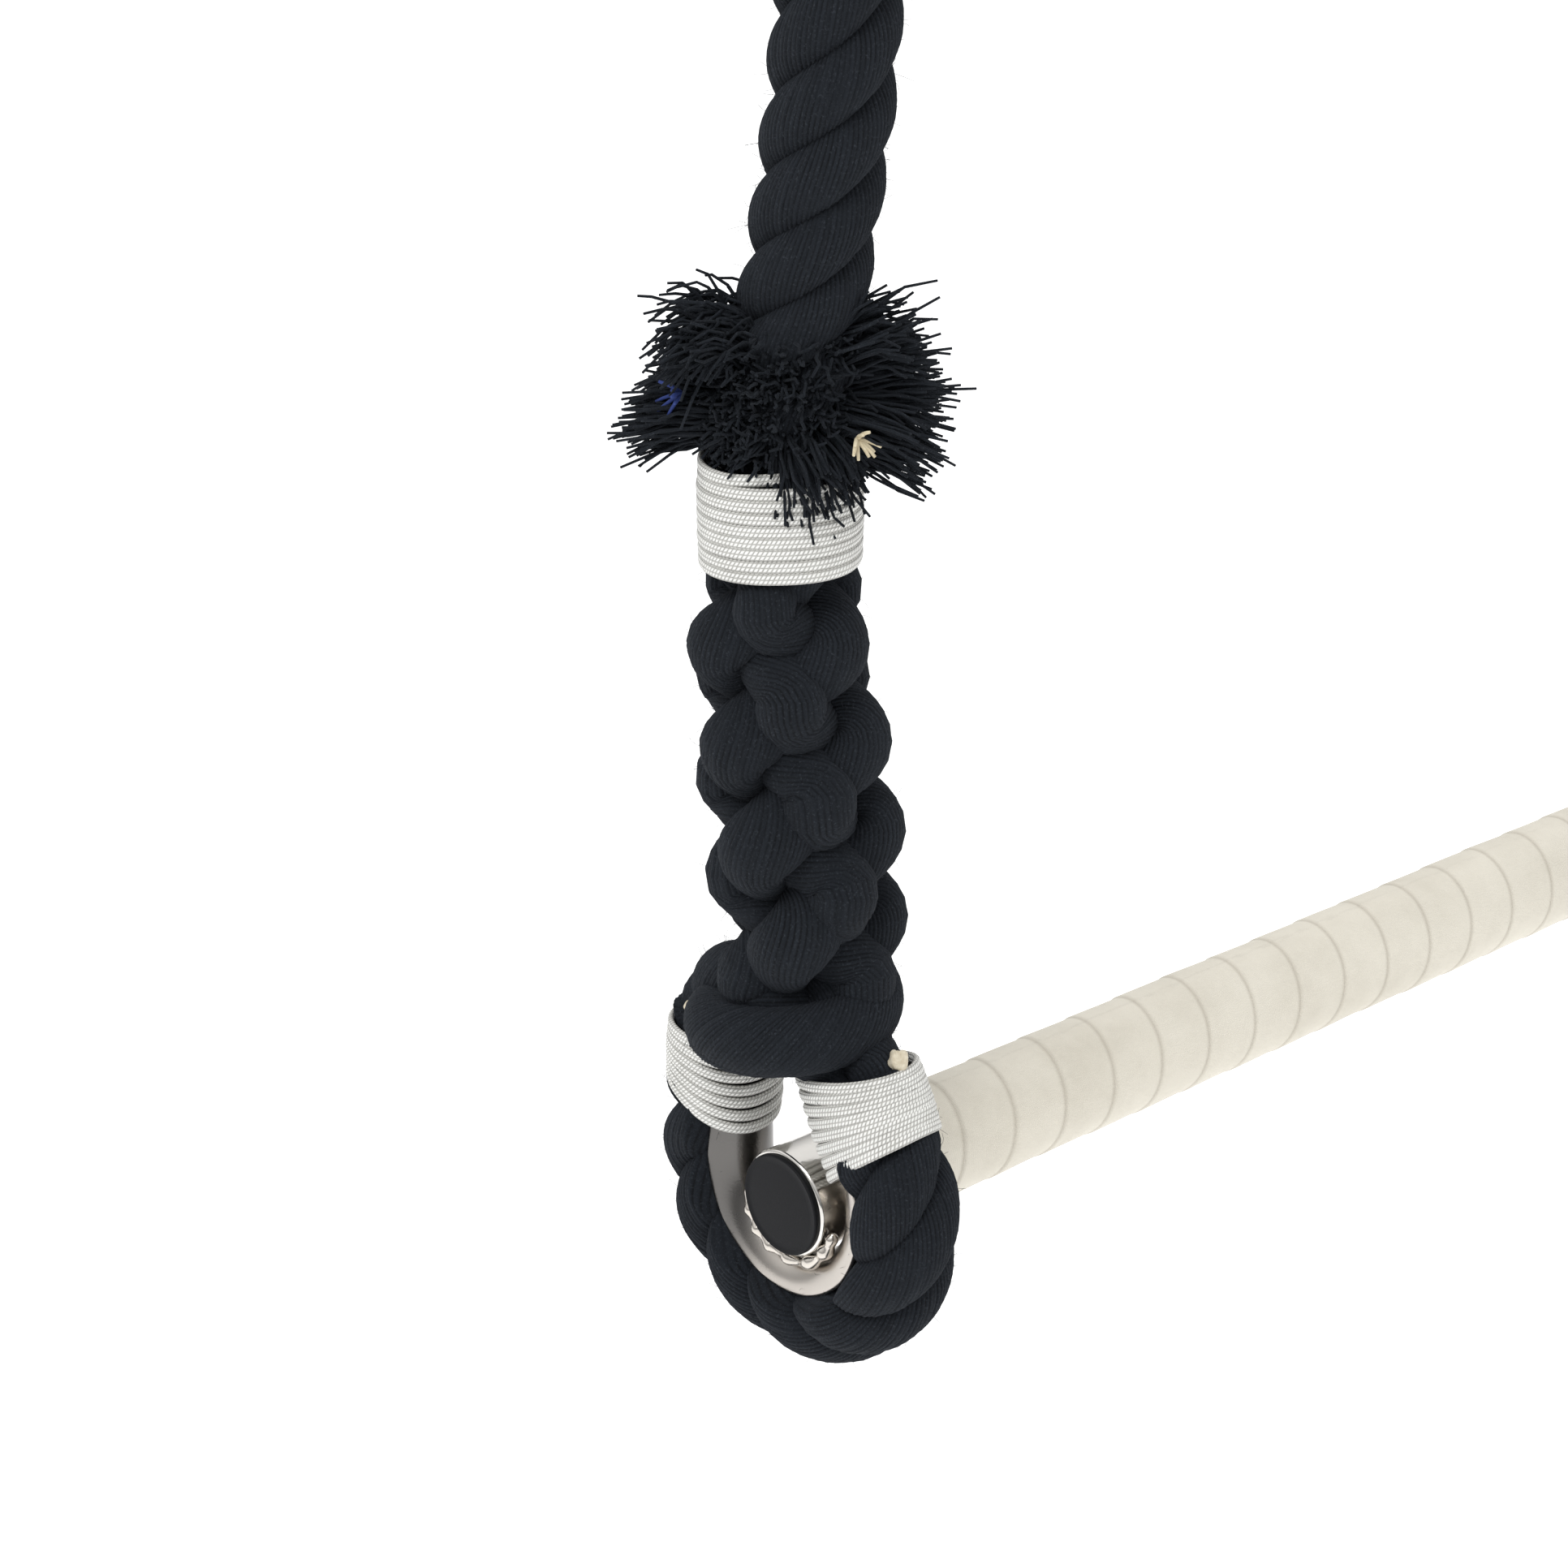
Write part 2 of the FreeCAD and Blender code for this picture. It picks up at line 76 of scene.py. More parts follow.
# small vector helpers
def soft(t):
    # 0 below 0, 1 above 1, a smooth step between
    t = np.clip(t, 0, 1)
    return t * t * (3 - 2 * t)


def hump(h, tall, middle, spread):
    # a bell of this height round a middle
    return tall * np.exp(-((h - middle) / spread) ** 2)


def unit(v):
    return v / np.maximum(np.linalg.norm(v, axis=-1, keepdims=True), 1e-12)


def runAlong(line):
    # distance travelled at each point of a line
    return np.concatenate([[0], np.cumsum(np.linalg.norm(np.diff(line, axis=0), axis=1))])


def resample(line, step, *others):
    # the same line with points a step apart, and other columns read at the same places
    run = runAlong(line)
    at = np.linspace(0, run[-1], max(int(run[-1] / step), 4))
    read = [np.stack([np.interp(at, run, c) for c in np.atleast_2d(a.T)], -1) for a in (line,) + others]
    return [at] + read


def readAlong(at, run, *columns):
    # three-column arrays read at distances along a line
    return [np.stack([np.interp(at, run, a[:, c]) for c in range(3)], -1) for a in columns]


def frameAlong(line, outward):
    # tangent of the line, the outward direction made square to it, and the one across both
    tangent = unit(np.gradient(line, axis=0))
    out = unit(outward - tangent * (outward * tangent).sum(-1, keepdims=True))
    return tangent, out, np.cross(tangent, out)


def gridFaces(rows, cols, around):
    # four corners of every face of a grid numbered row by row
    r = np.arange(rows - 1)[:, None]
    c = np.arange(cols if around else cols - 1)[None, :]
    n = (c + 1) % cols
    return np.stack([r * cols + c, r * cols + n, (r + 1) * cols + n, (r + 1) * cols + c], -1).reshape(-1, 4)


class Surface:
    # gathers grids of points (grids, rows, columns, 3) into one mesh, with numbers kept per point
    def __init__(self, *names):
        self.points, self.quads, self.tris, self.count = [], [], [], 0
        self.values = {n: [] for n in names}

    def add(self, points, around=True, capped=True, **values):
        if points.ndim == 3:
            points = points[None]
        many, rows, cols = points.shape[:3]
        size = rows * cols
        first = self.count + np.arange(many)[:, None, None] * size
        self.quads.append((first + gridFaces(rows, cols, around)[None]).reshape(-1, 4))
        self.points.append(points.reshape(-1, 3))
        for n in self.values:
            self.values[n].append(np.broadcast_to(values.get(n, 0.0), points.shape[:3]).reshape(-1))
        self.count += many * size
        if not capped:
            return
        for row, turned in ((0, True), (rows - 1, False)):
            middle = points[:, row].mean(1)
            pole = self.count + np.arange(many)[:, None]
            ring = first[:, 0] + row * cols + np.arange(cols)[None, :]
            ahead = np.roll(ring, -1, axis=1)
            pole = np.broadcast_to(pole, ring.shape)
            order = (pole, ahead, ring) if turned else (pole, ring, ahead)
            self.tris.append(np.stack(order, -1).reshape(-1, 3))
            self.points.append(middle)
            for n in self.values:
                kept = np.broadcast_to(values.get(n, 0.0), points.shape[:3])[:, row].mean(1)
                self.values[n].append(kept)
            self.count += many

    def build(self, name, place, finish):
        # the mesh, moved to its eye, as one smooth-shaded object at the origin
        points = place(np.concatenate(self.points)) * metre
        quads = np.concatenate(self.quads).astype(np.int32)
        tris = np.concatenate(self.tris).astype(np.int32) if self.tris else np.zeros((0, 3), np.int32)
        mesh = bpy.data.meshes.new(name)
        mesh.vertices.add(len(points))
        mesh.vertices.foreach_set("co", points.astype(np.float32).ravel())
        corners = np.concatenate([quads.ravel(), tris.ravel()])
        starts = np.concatenate([np.arange(len(quads)) * 4, quads.size + np.arange(len(tris)) * 3])
        mesh.loops.add(len(corners))
        mesh.loops.foreach_set("vertex_index", corners.astype(np.int32))
        mesh.polygons.add(len(starts))
        mesh.polygons.foreach_set("loop_start", starts.astype(np.int32))
        mesh.polygons.foreach_set("use_smooth", np.ones(len(starts), bool))
        mesh.update(calc_edges=True)
        mesh.validate()
        for n, kept in self.values.items():
            layer = mesh.attributes.new(n, "FLOAT", "POINT")
            layer.data.foreach_set("value", np.concatenate(kept).astype(np.float32))
        piece = bpy.data.objects.new(name, mesh)
        bpy.context.scene.collection.objects.link(piece)
        mesh.materials.append(finish)
        return piece


def placeAtBar(x):
    # (x, y, height above the bar axis) to the row frame, in millimetres
    return lambda p: p + np.array([x, 0.0, barHeight])


def placeAtHanger(x):
    # the same shapes turned over about y, round the middle of an upper eye
    return lambda p: p * np.array([-1.0, 1.0, -1.0]) + np.array([x, 0.0, hangerHeight])


class Value:
    # one number of a material; arithmetic on it adds the Math nodes
    def __init__(self, finish, socket):
        self.finish, self.socket = finish, socket

    def maths(self, operation, first, second):
        return self.finish.node("ShaderNodeMath", {"operation": operation}, {0: first, 1: second})

    def __add__(self, other):
        return self.maths("ADD", self, other)

    def __sub__(self, other):
        return self.maths("SUBTRACT", self, other)

    def __rsub__(self, other):
        return self.maths("SUBTRACT", other, self)

    def __mul__(self, other):
        return self.maths("MULTIPLY", self, other)

    def __pow__(self, other):
        return self.maths("POWER", self, other)

    def least(self, other):
        return self.maths("MINIMUM", self, other)

    def clamp(self):
        return self.finish.node("ShaderNodeClamp", {}, {0: self})

    def sine(self):
        return self.maths("SINE", self, 0.0)

    def size(self):
        return self.maths("ABSOLUTE", self, 0.0)

    __radd__ = __add__
    __rmul__ = __mul__


class Finish:
    # one material: the shader's fixed values are set on it, the nodes feed what varies
    def __init__(self, name, **fixed):
        self.material = bpy.data.materials.new(name)
        self.material.use_nodes = True
        self.tree = self.material.node_tree
        self.shader = next(n for n in self.tree.nodes if n.type == "BSDF_PRINCIPLED")
        for socket, value in fixed.items():
            self.shader.inputs[socket.replace("_", " ")].default_value = value

    def node(self, kind, settings=None, sockets=None, out=0):
        made = self.tree.nodes.new(kind)
        for key, value in (settings or {}).items():
            setattr(made, key, value)
        for key, value in (sockets or {}).items():
            if isinstance(value, Value):
                self.tree.links.new(value.socket, made.inputs[key])
            else:
                made.inputs[key].default_value = value
        return Value(self, made.outputs[out])

    def attribute(self, name):
        return self.node("ShaderNodeAttribute", {"attribute_name": name}, out=2)

    def place(self):
        return self.node("ShaderNodeTexCoord", out=3)

    def noise(self, scale, detail=3.0, rough=0.5, stretch=(1, 1, 1)):
        where = self.node("ShaderNodeMapping", {}, {0: self.place(), 3: stretch})
        sockets = {"Vector": where, "Scale": scale, "Detail": detail, "Roughness": rough}
        return self.node("ShaderNodeTexNoise", {}, sockets)

    def mix(self, first, second, share):
        return self.node("ShaderNodeMix", {"data_type": "RGBA"}, {0: share, 6: first, 7: second}, out=2)

    def feed(self, socket, value):
        self.tree.links.new(value.socket, self.shader.inputs[socket])

    def bump(self, height, strength, distance):
        sockets = {"Height": height, "Strength": strength, "Distance": distance}
        self.feed("Normal", self.node("ShaderNodeBump", {}, sockets))


def colour(red, green, blue):
    # screen values from 0 to 255 to the shader's linear colour
    linear = []
    for v in (red, green, blue):
        linear.append(v / 255 / 12.92 if v < 11 else ((v / 255 + 0.055) / 1.055) ** 2.4)
    return (*linear, 1)


# deep is a painted shade colour, laid into the grooves between the yarns
ropeLook = {
    "lit": colour(34, 38, 44), "base": colour(18, 21, 25),
    "deep": colour(8, 9, 11), "lintAndFibreHighlight": colour(70, 75, 82),
}


def ropeFinish(name, look):
    f = Finish(name, Roughness=0.95, Specular_IOR_Level=0.15, Sheen_Weight=0.10, Sheen_Roughness=0.6)
    f.shader.inputs["Sheen Tint"].default_value = colour(130, 136, 146)
    crest = f.attribute("crest")
    tone = f.attribute("tone")
    patches = f.noise(75.0, 4.0, 0.65)
    fibres = f.noise(1500.0, 4.0, 0.75)
    lint = f.noise(620.0, 3.0, 0.7)
    # painted shade darkens the grooves between the yarns; the grooves show in some patches and are felted
    # over in others
    grooveShade = (1 - crest) ** 1.5 * ((patches - 0.30) * 3.2).clamp()
    base = f.mix(look["base"], look["lit"], (patches * 0.55 + tone * 0.3 + lint * 0.5 - 0.15).clamp())
    base = f.mix(base, look["deep"], grooveShade * 0.9)
    # pale flecks on the fine fibres: partly lint, partly a painted highlight on the fibre tips
    base = f.mix(base, look["lintAndFibreHighlight"], ((fibres - 0.55) * 2.8).clamp())
    f.feed("Base Color", base)
    f.bump(fibres * 0.7 + lint * 0.8, 0.7, 0.0006)
    return f.material


braidLook = {"thread": colour(247, 247, 243), "gapAndLapShade": colour(158, 155, 147), "stitch": 1.05}
whipShape = {
    "pitch": 2.95, "thick": 1.7, "wide": 3.15, "perTurn": 84, "around": 12,
    "tuck": 2.2, "tuckOver": 0.12, "bulge": 0.35, "square": 2.3, "ropeOut": 4.5, "legTop": 44.0,
}


def braidFinish(name, look):
    # crossing diagonal ribs worked out from the run and the way round of the cord; both edges of the cord,
    # where the turns meet, are darkened with painted shade
    f = Finish(name, Roughness=0.55, Specular_IOR_Level=0.4, Sheen_Weight=0.1, Subsurface_Weight=0.0)
    k = math.pi / look["stitch"]
    run = f.attribute("run") * k
    girth = f.attribute("girth") * k
    # painted shade: a mask that rises towards both edges of the flat cord
    lap = (f.attribute("girth") * (2 / whipShape["wide"])).size() ** 6.0
    ribs = (girth.sine() * (run + girth * 0.6).sine()).size() ** 0.5
    soil = f.noise(90.0, 3.0, 0.6)
    cloth = f.mix(look["gapAndLapShade"], look["thread"], (ribs * 0.75 + soil * 0.55).least(1.0))
    f.feed("Base Color", f.mix(cloth, look["gapAndLapShade"], lap * 0.75))
    f.bump(ribs, 1.0, 0.0005)
    return f.material


def steelFinish(name, tint, rough, grain, spread, paintedShade=None, **fixed):
    f = Finish(name, Metallic=1.0, **fixed)
    cloud = f.noise(45.0, 4.0, 0.6)
    fine = f.noise(grain, 2.0, 0.6)
    dull = tuple(v * 0.78 for v in tint[:3]) + (1,)
    base = f.mix(dull, tint, (cloud * 1.5).least(1.0))
    # painted shade: a darker colour mixed in by the mesh's shade mask, standing in for dark reflections
    if paintedShade:
        base = f.mix(base, paintedShade, f.attribute("dull"))
    f.feed("Base Color", base)
    f.feed("Roughness", cloud * spread + (rough - spread * 0.5))
    f.bump(fine, 0.18, 0.00012)
    return f.material


tapeLook = {
    "cloth": colour(229, 224, 211), "edge": colour(172, 164, 150), "dust": colour(206, 200, 186),
    "weave": 6.6,
}


def tapeFinish(name, look):
    f = Finish(name, Roughness=0.85, Specular_IOR_Level=0.25, Sheen_Weight=0.1)
    lap = f.attribute("lap")
    run = f.attribute("run")
    girth = f.attribute("girth")
    weave = ((run * look["weave"]).sine() * (girth * look["weave"]).sine()).size()
    soil = f.noise(28.0, 5.0, 0.65)
    base = f.mix(look["cloth"], look["dust"], (soil * soil * 1.7).least(1.0))
    # painted shade: the edge colour laid along the step at both edges of each lap
    base = f.mix(base, look["edge"], lap * 0.5)
    f.feed("Base Color", base)
    f.bump(weave * 0.6 + soil * 0.8, 0.35, 0.0003)
    return f.material


def plasticFinish(name):
    f = Finish(name, Roughness=0.55, Specular_IOR_Level=0.14)
    grain = f.noise(2600.0, 3.0, 0.6)
    f.feed("Base Color", f.mix(colour(10, 10, 12), colour(25, 26, 30), grain))
    f.bump(grain, 0.3, 0.00015)
    return f.material


# the gutter's painted shade colour, standing in for the dark reflections on its rear leg
gutterShadeColour = colour(104, 102, 100)
finishes = {
    "black_cotton_rope": ropeFinish("black_cotton_rope", ropeLook),
    "cotton_yarn": ropeFinish("cotton_yarn", ropeLook),
    "white_braid": braidFinish("white_braid", braidLook),
    "cotton_tape": tapeFinish("cotton_tape", tapeLook),
    "gutter_steel": steelFinish("gutter_steel", colour(196, 190, 183), 0.28, 1500.0, 0.14, gutterShadeColour),
    "polished_steel": steelFinish("polished_steel", colour(222, 219, 214), 0.14, 900.0, 0.10),
    "weld_metal": steelFinish("weld_metal", colour(212, 206, 198), 0.22, 1800.0, 0.2),
    "galvanised_steel": steelFinish("galvanised_steel", colour(168, 172, 176), 0.42, 500.0, 0.3),
    "bright_pin_steel": steelFinish("bright_pin_steel", colour(196, 196, 196), 0.28, 700.0, 0.15),
    "black_plastic": plasticFinish("black_plastic"),
}


def plainFinish(name, look):
    f = Finish(name, Roughness=0.8)
    f.feed("Base Color", f.mix(look[0], look[1], f.noise(900.0, 2.0, 0.6)))
    return f.material


finishes["cream_core"] = plainFinish("cream_core", (colour(226, 216, 190), colour(190, 174, 140)))
finishes["blue_core"] = plainFinish("blue_core", (colour(40, 62, 130), colour(24, 38, 92)))
finishes["melted_end"] = plainFinish("melted_end", (colour(232, 226, 208), colour(176, 160, 130)))
print("finishes made")

strandShape = {"yarns": 34, "ridge": 0.036, "fine": (4, 1.4), "woven": (3, 1.8), "coarse": (3, 4.0)}
chance = np.random.default_rng(31)


def addStrand(surface, line, outward, across, deep, twist, grade, squeeze=None):
    # a tube round a line: its radius rises and falls with |sin| once a yarn, and the yarns creep
    # round the strand by the twist, so each column of the grid is one thread's line
    samples, step = strandShape[grade]
    yarns = strandShape["yarns"]
    cols = yarns * samples
    run, line, outward, size = resample(line, step, outward, np.stack([across, deep], -1))
    tangent, out, side = frameAlong(line, outward)
    turn = np.arange(cols) / cols * 2 * math.pi
    crest = np.abs(np.sin(turn * yarns / 2))
    yarn = np.arange(cols) // samples
    lift = chance.normal(0, 0.012, yarns)[yarn]
    wave = chance.uniform(0, 6.28, yarns)[yarn]
    tone = chance.uniform(0, 1, yarns)[yarn]
    angle = turn[None, :] + twist * run[:, None]
    swell = 1 + strandShape["ridge"] * (crest - 0.6)[None, :] + lift * np.sin(run[:, None] / 9 + wave)
    points = line[:, None] + out[:, None] * (size[:, 1:2] * np.cos(angle) * swell)[..., None]
    points = points + side[:, None] * (size[:, 0:1] * np.sin(angle) * swell)[..., None]
    if squeeze:
        points = squeeze(points)
    surface.add(points, crest=crest[None, None, :], tone=tone[None, None, :])


ropeLay = {"lay": 57.0, "offset": 8.0, "across": 7.6, "deep": 7.2, "twist": -0.173}


def laidRope(surface, centre, reference, start, grade, squeeze=None):
    # three strands wound round the centreline, a third of a turn apart, one turn in each lay
    run, centre = resample(centre, 0.6)
    tangent, first, second = frameAlong(centre, np.broadcast_to(np.array(reference, float), centre.shape))
    for k in range(3):
        turn = math.radians(start + 120 * k) + run * 2 * math.pi / ropeLay["lay"]
        outward = first * np.cos(turn)[:, None] + second * np.sin(turn)[:, None]
        wide = np.full(len(run), ropeLay["across"])
        thick = np.full(len(run), ropeLay["deep"])
        line = centre + outward * ropeLay["offset"]
        addStrand(surface, line, outward, wide, thick, ropeLay["twist"], grade, squeeze)


ropeRoutes = {
    "left": [(-5.0, 7.5, -501), (-4.4, 6.6, -487), (-1.2, 1.8, -453), (2.2, -2.6, -412), (3.0, -3.2, -385),
             (1.6, -0.4, -345), (0.4, 3.0, -309), (0.0, 4.0, -291)],
    "right": [(600.0, 4.0, -501), (600.6, 3.4, -486), (601.6, 2.4, -450), (600.4, 3.2, -410),
              (599.0, 4.8, -370), (599.2, 5.0, -335), (600.0, 4.2, -305), (600.0, 4.0, -291)],
}
ropePhase = {"left": 12.0, "right": 75.0}


def ropeCentre(name, route):
    # a smooth spline led by the route's points, and the points read back along it
    curve = bpy.data.curves.new(name + "_route", "CURVE")
    curve.dimensions = "3D"
    curve.resolution_u = 24
    spline = curve.splines.new("NURBS")
    spline.points.add(len(route) - 1)
    for point, (x, y, z) in zip(spline.points, route):
        point.co = (x * metre, y * metre, z * metre, 1.0)
    spline.order_u = 3
    spline.use_endpoint_u = True
    holder = bpy.data.objects.new(name + "_route", curve)
    bpy.context.scene.collection.objects.link(holder)
    bpy.context.view_layer.update()
    read = bpy.data.meshes.new_from_object(holder)
    line = np.array([v.co for v in read.vertices])
    bpy.data.objects.remove(holder)
    bpy.data.meshes.remove(read)
    return line if line[0][2] < line[-1][2] else line[::-1]


for side, route in ropeRoutes.items():
    line = ropeCentre(side + "_rope", route)
    surface = Surface("crest", "tone")
    grade = "fine" if side == "left" else "coarse"
    laidRope(surface, line / metre, (1, 0, 0), ropePhase[side], grade)
    rope = surface.build(side + "_standing_rope", lambda p: p, finishes["black_cotton_rope"])
    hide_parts(side + "_rope")
    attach(rope, side + "_rope")

# the lower eyes hang round the bar, the upper ones sit on a shackle
eyeForms = {
    "bar": {"rise": 2.5, "ahead": 2.2, "gutter": 28.5, "frontLean": 27.0, "rearLean": 4.0,
            "inner": 8.4, "outer": 10.0, "open": 84.0},
    "hanger": {"rise": 1.0, "ahead": 0.0, "gutter": 26.3, "frontLean": 25.0, "rearLean": -3.0,
               "inner": 9.5, "outer": 11.4, "open": 95.0},
}
eyeShape = {
    "ropeOffset": 5.0, "top": 39.0, "phase": 100.0, "ropeRadius": 15.2,
    "lip": 1.3, "lipOver": 4.5,  # how high the gutter's grip on the rope reaches, and where it ends
    "legReach": 22, "legOver": 8, "legSlim": 0.17,  # the whipped legs are drawn in a little
}


def eyeLine(form, beyond, top):
    # a leaning leg, the round bottom and the other leg; x, y and height, with the outward direction
    lean, back = math.radians(form["frontLean"]), math.radians(form["rearLean"])
    angle = np.linspace(math.pi - lean, 2 * math.pi + back, 200)
    arcOut = np.stack([np.cos(angle), np.sin(angle)], -1)
    arc = arcOut * (form["gutter"] + beyond) + np.array([form["ahead"], form["rise"]])
    front = (top - arc[0, 1]) / math.cos(lean) * np.linspace(1, 0.01, 60)[:, None]
    rear = (top - arc[-1, 1]) / math.cos(back) * np.linspace(0.01, 1, 60)[:, None]
    frontLine = arc[0] + front * np.array([math.sin(lean), math.cos(lean)])
    rearLine = arc[-1] + rear * np.array([-math.sin(back), math.cos(back)])
    line = np.concatenate([frontLine, arc, rearLine])
    out = np.concatenate([np.repeat(arcOut[:1], 60, 0), arcOut, np.repeat(arcOut[-1:], 60, 0)])
    flat = np.zeros((len(line), 1))
    return np.concatenate([flat, line], 1), np.concatenate([flat, out], 1)


def eyeStrands(place, name, nodes, grade, phase, form):
    # the rope is laid straight first, then pressed into the gutter and bent round the eye
    shape = eyeShape
    line, out = eyeLine(form, shape["ropeOffset"], shape["top"])
    half = form["inner"] - 0.2
    run = runAlong(line)
    across = np.cross(unit(np.gradient(line, axis=0)), out)

    def press(points):
        s, u, v = points[..., 2], points[..., 0] + shape["ropeOffset"], points[..., 1]
        low = np.minimum(u, -1.5)
        room = np.sqrt(np.clip(half ** 2 - low ** 2, 0.05, None))
        natural = np.sqrt(np.clip(shape["ropeRadius"] ** 2 - (low - shape["ropeOffset"]) ** 2, 0.5, None))
        share = room / natural + (1 - room / natural) * soft((u + shape["lip"]) / shape["lipOver"])
        reach, over = shape["legReach"], shape["legOver"]
        legs = soft((reach - s) / over) + soft((s - (run[-1] - reach)) / over)
        u = np.maximum(u, -half) - shape["ropeOffset"]
        v = v * np.minimum(share, 1) * (1 - shape["legSlim"] * legs)
        at = readAlong(s, run, line, out, across)
        return at[0] + at[1] * u[..., None] + at[2] * v[..., None]

    surface = Surface("crest", "tone")
    straight = np.stack([np.zeros(50), np.zeros(50), np.linspace(0, run[-1], 50)], -1)
    laidRope(surface, straight, (1, 0, 0), phase, grade, press)
    piece = surface.build(name, place, finishes["black_cotton_rope"])
    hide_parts(*nodes)
    return piece


gutterShape = {"top": 27.0, "slim": 0.86, "slimFrom": 2, "dullFrom": 3, "over": 22}


def gutter(place, name, nodes, form):
    # a half pipe with rounded rims carried round the eye; the open side faces outward
    line, out = eyeLine(form, 0.0, gutterShape["top"])
    run, line, out = resample(line, 1.5, out)
    tangent, out, side = frameAlong(line, out)
    inner, outer, reach = form["inner"], form["outer"], math.radians(form["open"])
    sweep = np.linspace(-reach, reach, 44)
    rim = (outer - inner) / 2
    middle = (outer + inner) / 2
    ends = np.linspace(0, math.pi, 9)[1:-1]
    shell = [np.stack([-np.cos(sweep) * outer, np.sin(sweep) * outer], -1)]
    for sign, way in ((1, reach), (-1, -reach)):
        # round rim from the outer wall over to the inner one
        hub = np.array([-math.cos(way), math.sin(way)]) * middle
        radial = np.array([-math.cos(way), math.sin(way)])
        along = np.array([math.sin(way), math.cos(way)]) * sign
        turn = ends if sign == 1 else math.pi - ends
        shell.append(hub + rim * (np.cos(turn)[:, None] * radial + np.sin(turn)[:, None] * along))
        if sign == 1:
            shell.append(np.stack([-np.cos(sweep[::-1]) * inner, np.sin(sweep[::-1]) * inner], -1))
    section = np.concatenate(shell)[::-1]
    # it narrows up both legs, and the rear leg is darkened with painted shade that stands in for dark
    # reflections
    shape = gutterShape
    leg = soft((line[:, 2] - shape["slimFrom"]) / shape["over"])[:, None, None]
    section = section[None] * (1 - (1 - shape["slim"]) * leg)
    points = line[:, None] + out[:, None] * section[..., 0:1] + side[:, None] * section[..., 1:2]
    surface = Surface("dull")
    # painted shade: rises up the rear leg
    dull = soft((line[:, 1] - shape["dullFrom"]) / shape["over"])
    surface.add(points, capped=False, dull=dull[None, :, None])
    closeEnds(surface, points)
    piece = surface.build(name, place, finishes["gutter_steel"])
    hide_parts(*nodes)
    return piece


def closeEnds(surface, points):
    # the two ends of a thin-walled section, each closed by strips between its two walls
    rows, cols = points.shape[:2]
    half = cols // 2
    for row, turned in ((0, True), (rows - 1, False)):
        a = row * cols + np.arange(half)
        b = row * cols + (cols - 1 - np.arange(half))
        quads = np.stack([a[:-1], a[1:], b[1:], b[:-1]], -1)
        surface.quads.append(quads if turned else quads[:, ::-1])


def whipping(place, name, nodes, centre, out, along, sizes, turns, seed, tilt=(0.0, 0.0), bend=None,
             start=0.0):
    # a flat braided cord wound side by side round an oval: a helix whose section is a flat oval,
    # with a little wander from turn to turn and both ends tucked inward
    luck = np.random.default_rng(seed)
    shape = whipShape
    side = np.cross(along, out)
    count = int(turns * shape["perTurn"])
    t = np.linspace(0, turns, count)
    turn = t * 2 * math.pi + math.radians(start)
    jitter = np.interp(t, np.arange(0, turns + 2), luck.normal(0, 0.12, int(turns) + 2 + (turns % 1 > 0)))
    thirds = np.arange(0, 3 * turns + 4)
    lift = np.interp(t * 3, thirds, luck.normal(0, 0.16, len(thirds)))
    ends = np.minimum(soft(t / shape["tuckOver"]), soft((turns - t) / shape["tuckOver"]))
    tuck = ends * shape["tuck"] - shape["tuck"]
    bulge = shape["bulge"] * np.sin(math.pi * t / turns)
    c, s = np.cos(turn), np.sin(turn)
    # a superellipse a little squarer than an oval
    power = shape["square"]
    square = (np.abs(c) ** power + np.abs(s) ** power) ** (-1 / power)
    grow = tuck + lift * 0.5 + bulge - shape["thick"] / 2
    rise = (t - turns / 2) * shape["pitch"] + jitter + c * (tilt[0] * (1 - t / turns) + tilt[1] * t / turns)
    line = centre + out * ((sizes[0] + grow) * c * square)[:, None]
    line = line + side * ((sizes[1] + grow) * s * square)[:, None] + along * rise[:, None]
    outward = out * (c / sizes[0])[:, None] + side * (s / sizes[1])[:, None]
    tangent, proud, flat = frameAlong(line, outward)
    around = np.arange(shape["around"]) / shape["around"] * 2 * math.pi
    bulk = proud[:, None] * (np.cos(around) * shape["thick"] / 2)[None, :, None]
    broad = np.sign(np.sin(around)) * np.abs(np.sin(around)) ** 0.8 * shape["wide"] / 2
    bulk = bulk + flat[:, None] * broad[None, :, None]
    surface = Surface("run", "girth")
    girth = np.sin(around) * shape["wide"] / 2
    points = line[:, None] + bulk
    if bend:
        points = bend(points)
    surface.add(points, run=runAlong(line)[None, :, None], girth=girth[None, None, :])
    piece = surface.build(name, place, finishes["white_braid"])
    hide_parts(*nodes)
    return piece


# each leg: where the cord starts below the top of the leg, turns, half sizes, how far the outer side
# is lifted at the bottom and the top, and where round the leg both ends lie
legWhips = {
    "front": {"below": 3.4, "turns": 8.0, "deep": 16.4, "across": 14.0, "tilt": (3.4, -4.0), "shift": 0.0,
              "start": 90.0},
    "rear": {"below": 7.4, "turns": 7.3, "deep": 15.4, "across": 13.6, "tilt": (6.0, -0.5), "shift": 0.6,
             "start": 270.0},
}


def legWhipping(place, name, nodes, which, seed, form):
    # wound on a straight leg first, then bent with it round the eye
    leg = legWhips[which]
    line, out = eyeLine(form, whipShape["ropeOut"] + leg["shift"], whipShape["legTop"])
    run = runAlong(line)
    across = np.cross(unit(np.gradient(line, axis=0)), out)
    middle = leg["below"] + leg["turns"] * whipShape["pitch"] / 2
    upward = np.array([0, 0, -1.0 if which == "front" else 1.0])
    centre = np.array([0, 0, middle if which == "front" else run[-1] - middle])

    def bend(points):
        at = readAlong(points[..., 2], run, line, out, across)
        return at[0] + at[1] * points[..., 0:1] + at[2] * points[..., 1:2]

    sizes = (leg["deep"], leg["across"])
    return whipping(place, name, nodes, centre, np.array([1.0, 0, 0]), upward, sizes, leg["turns"], seed,
                    leg["tilt"], bend, leg["start"])


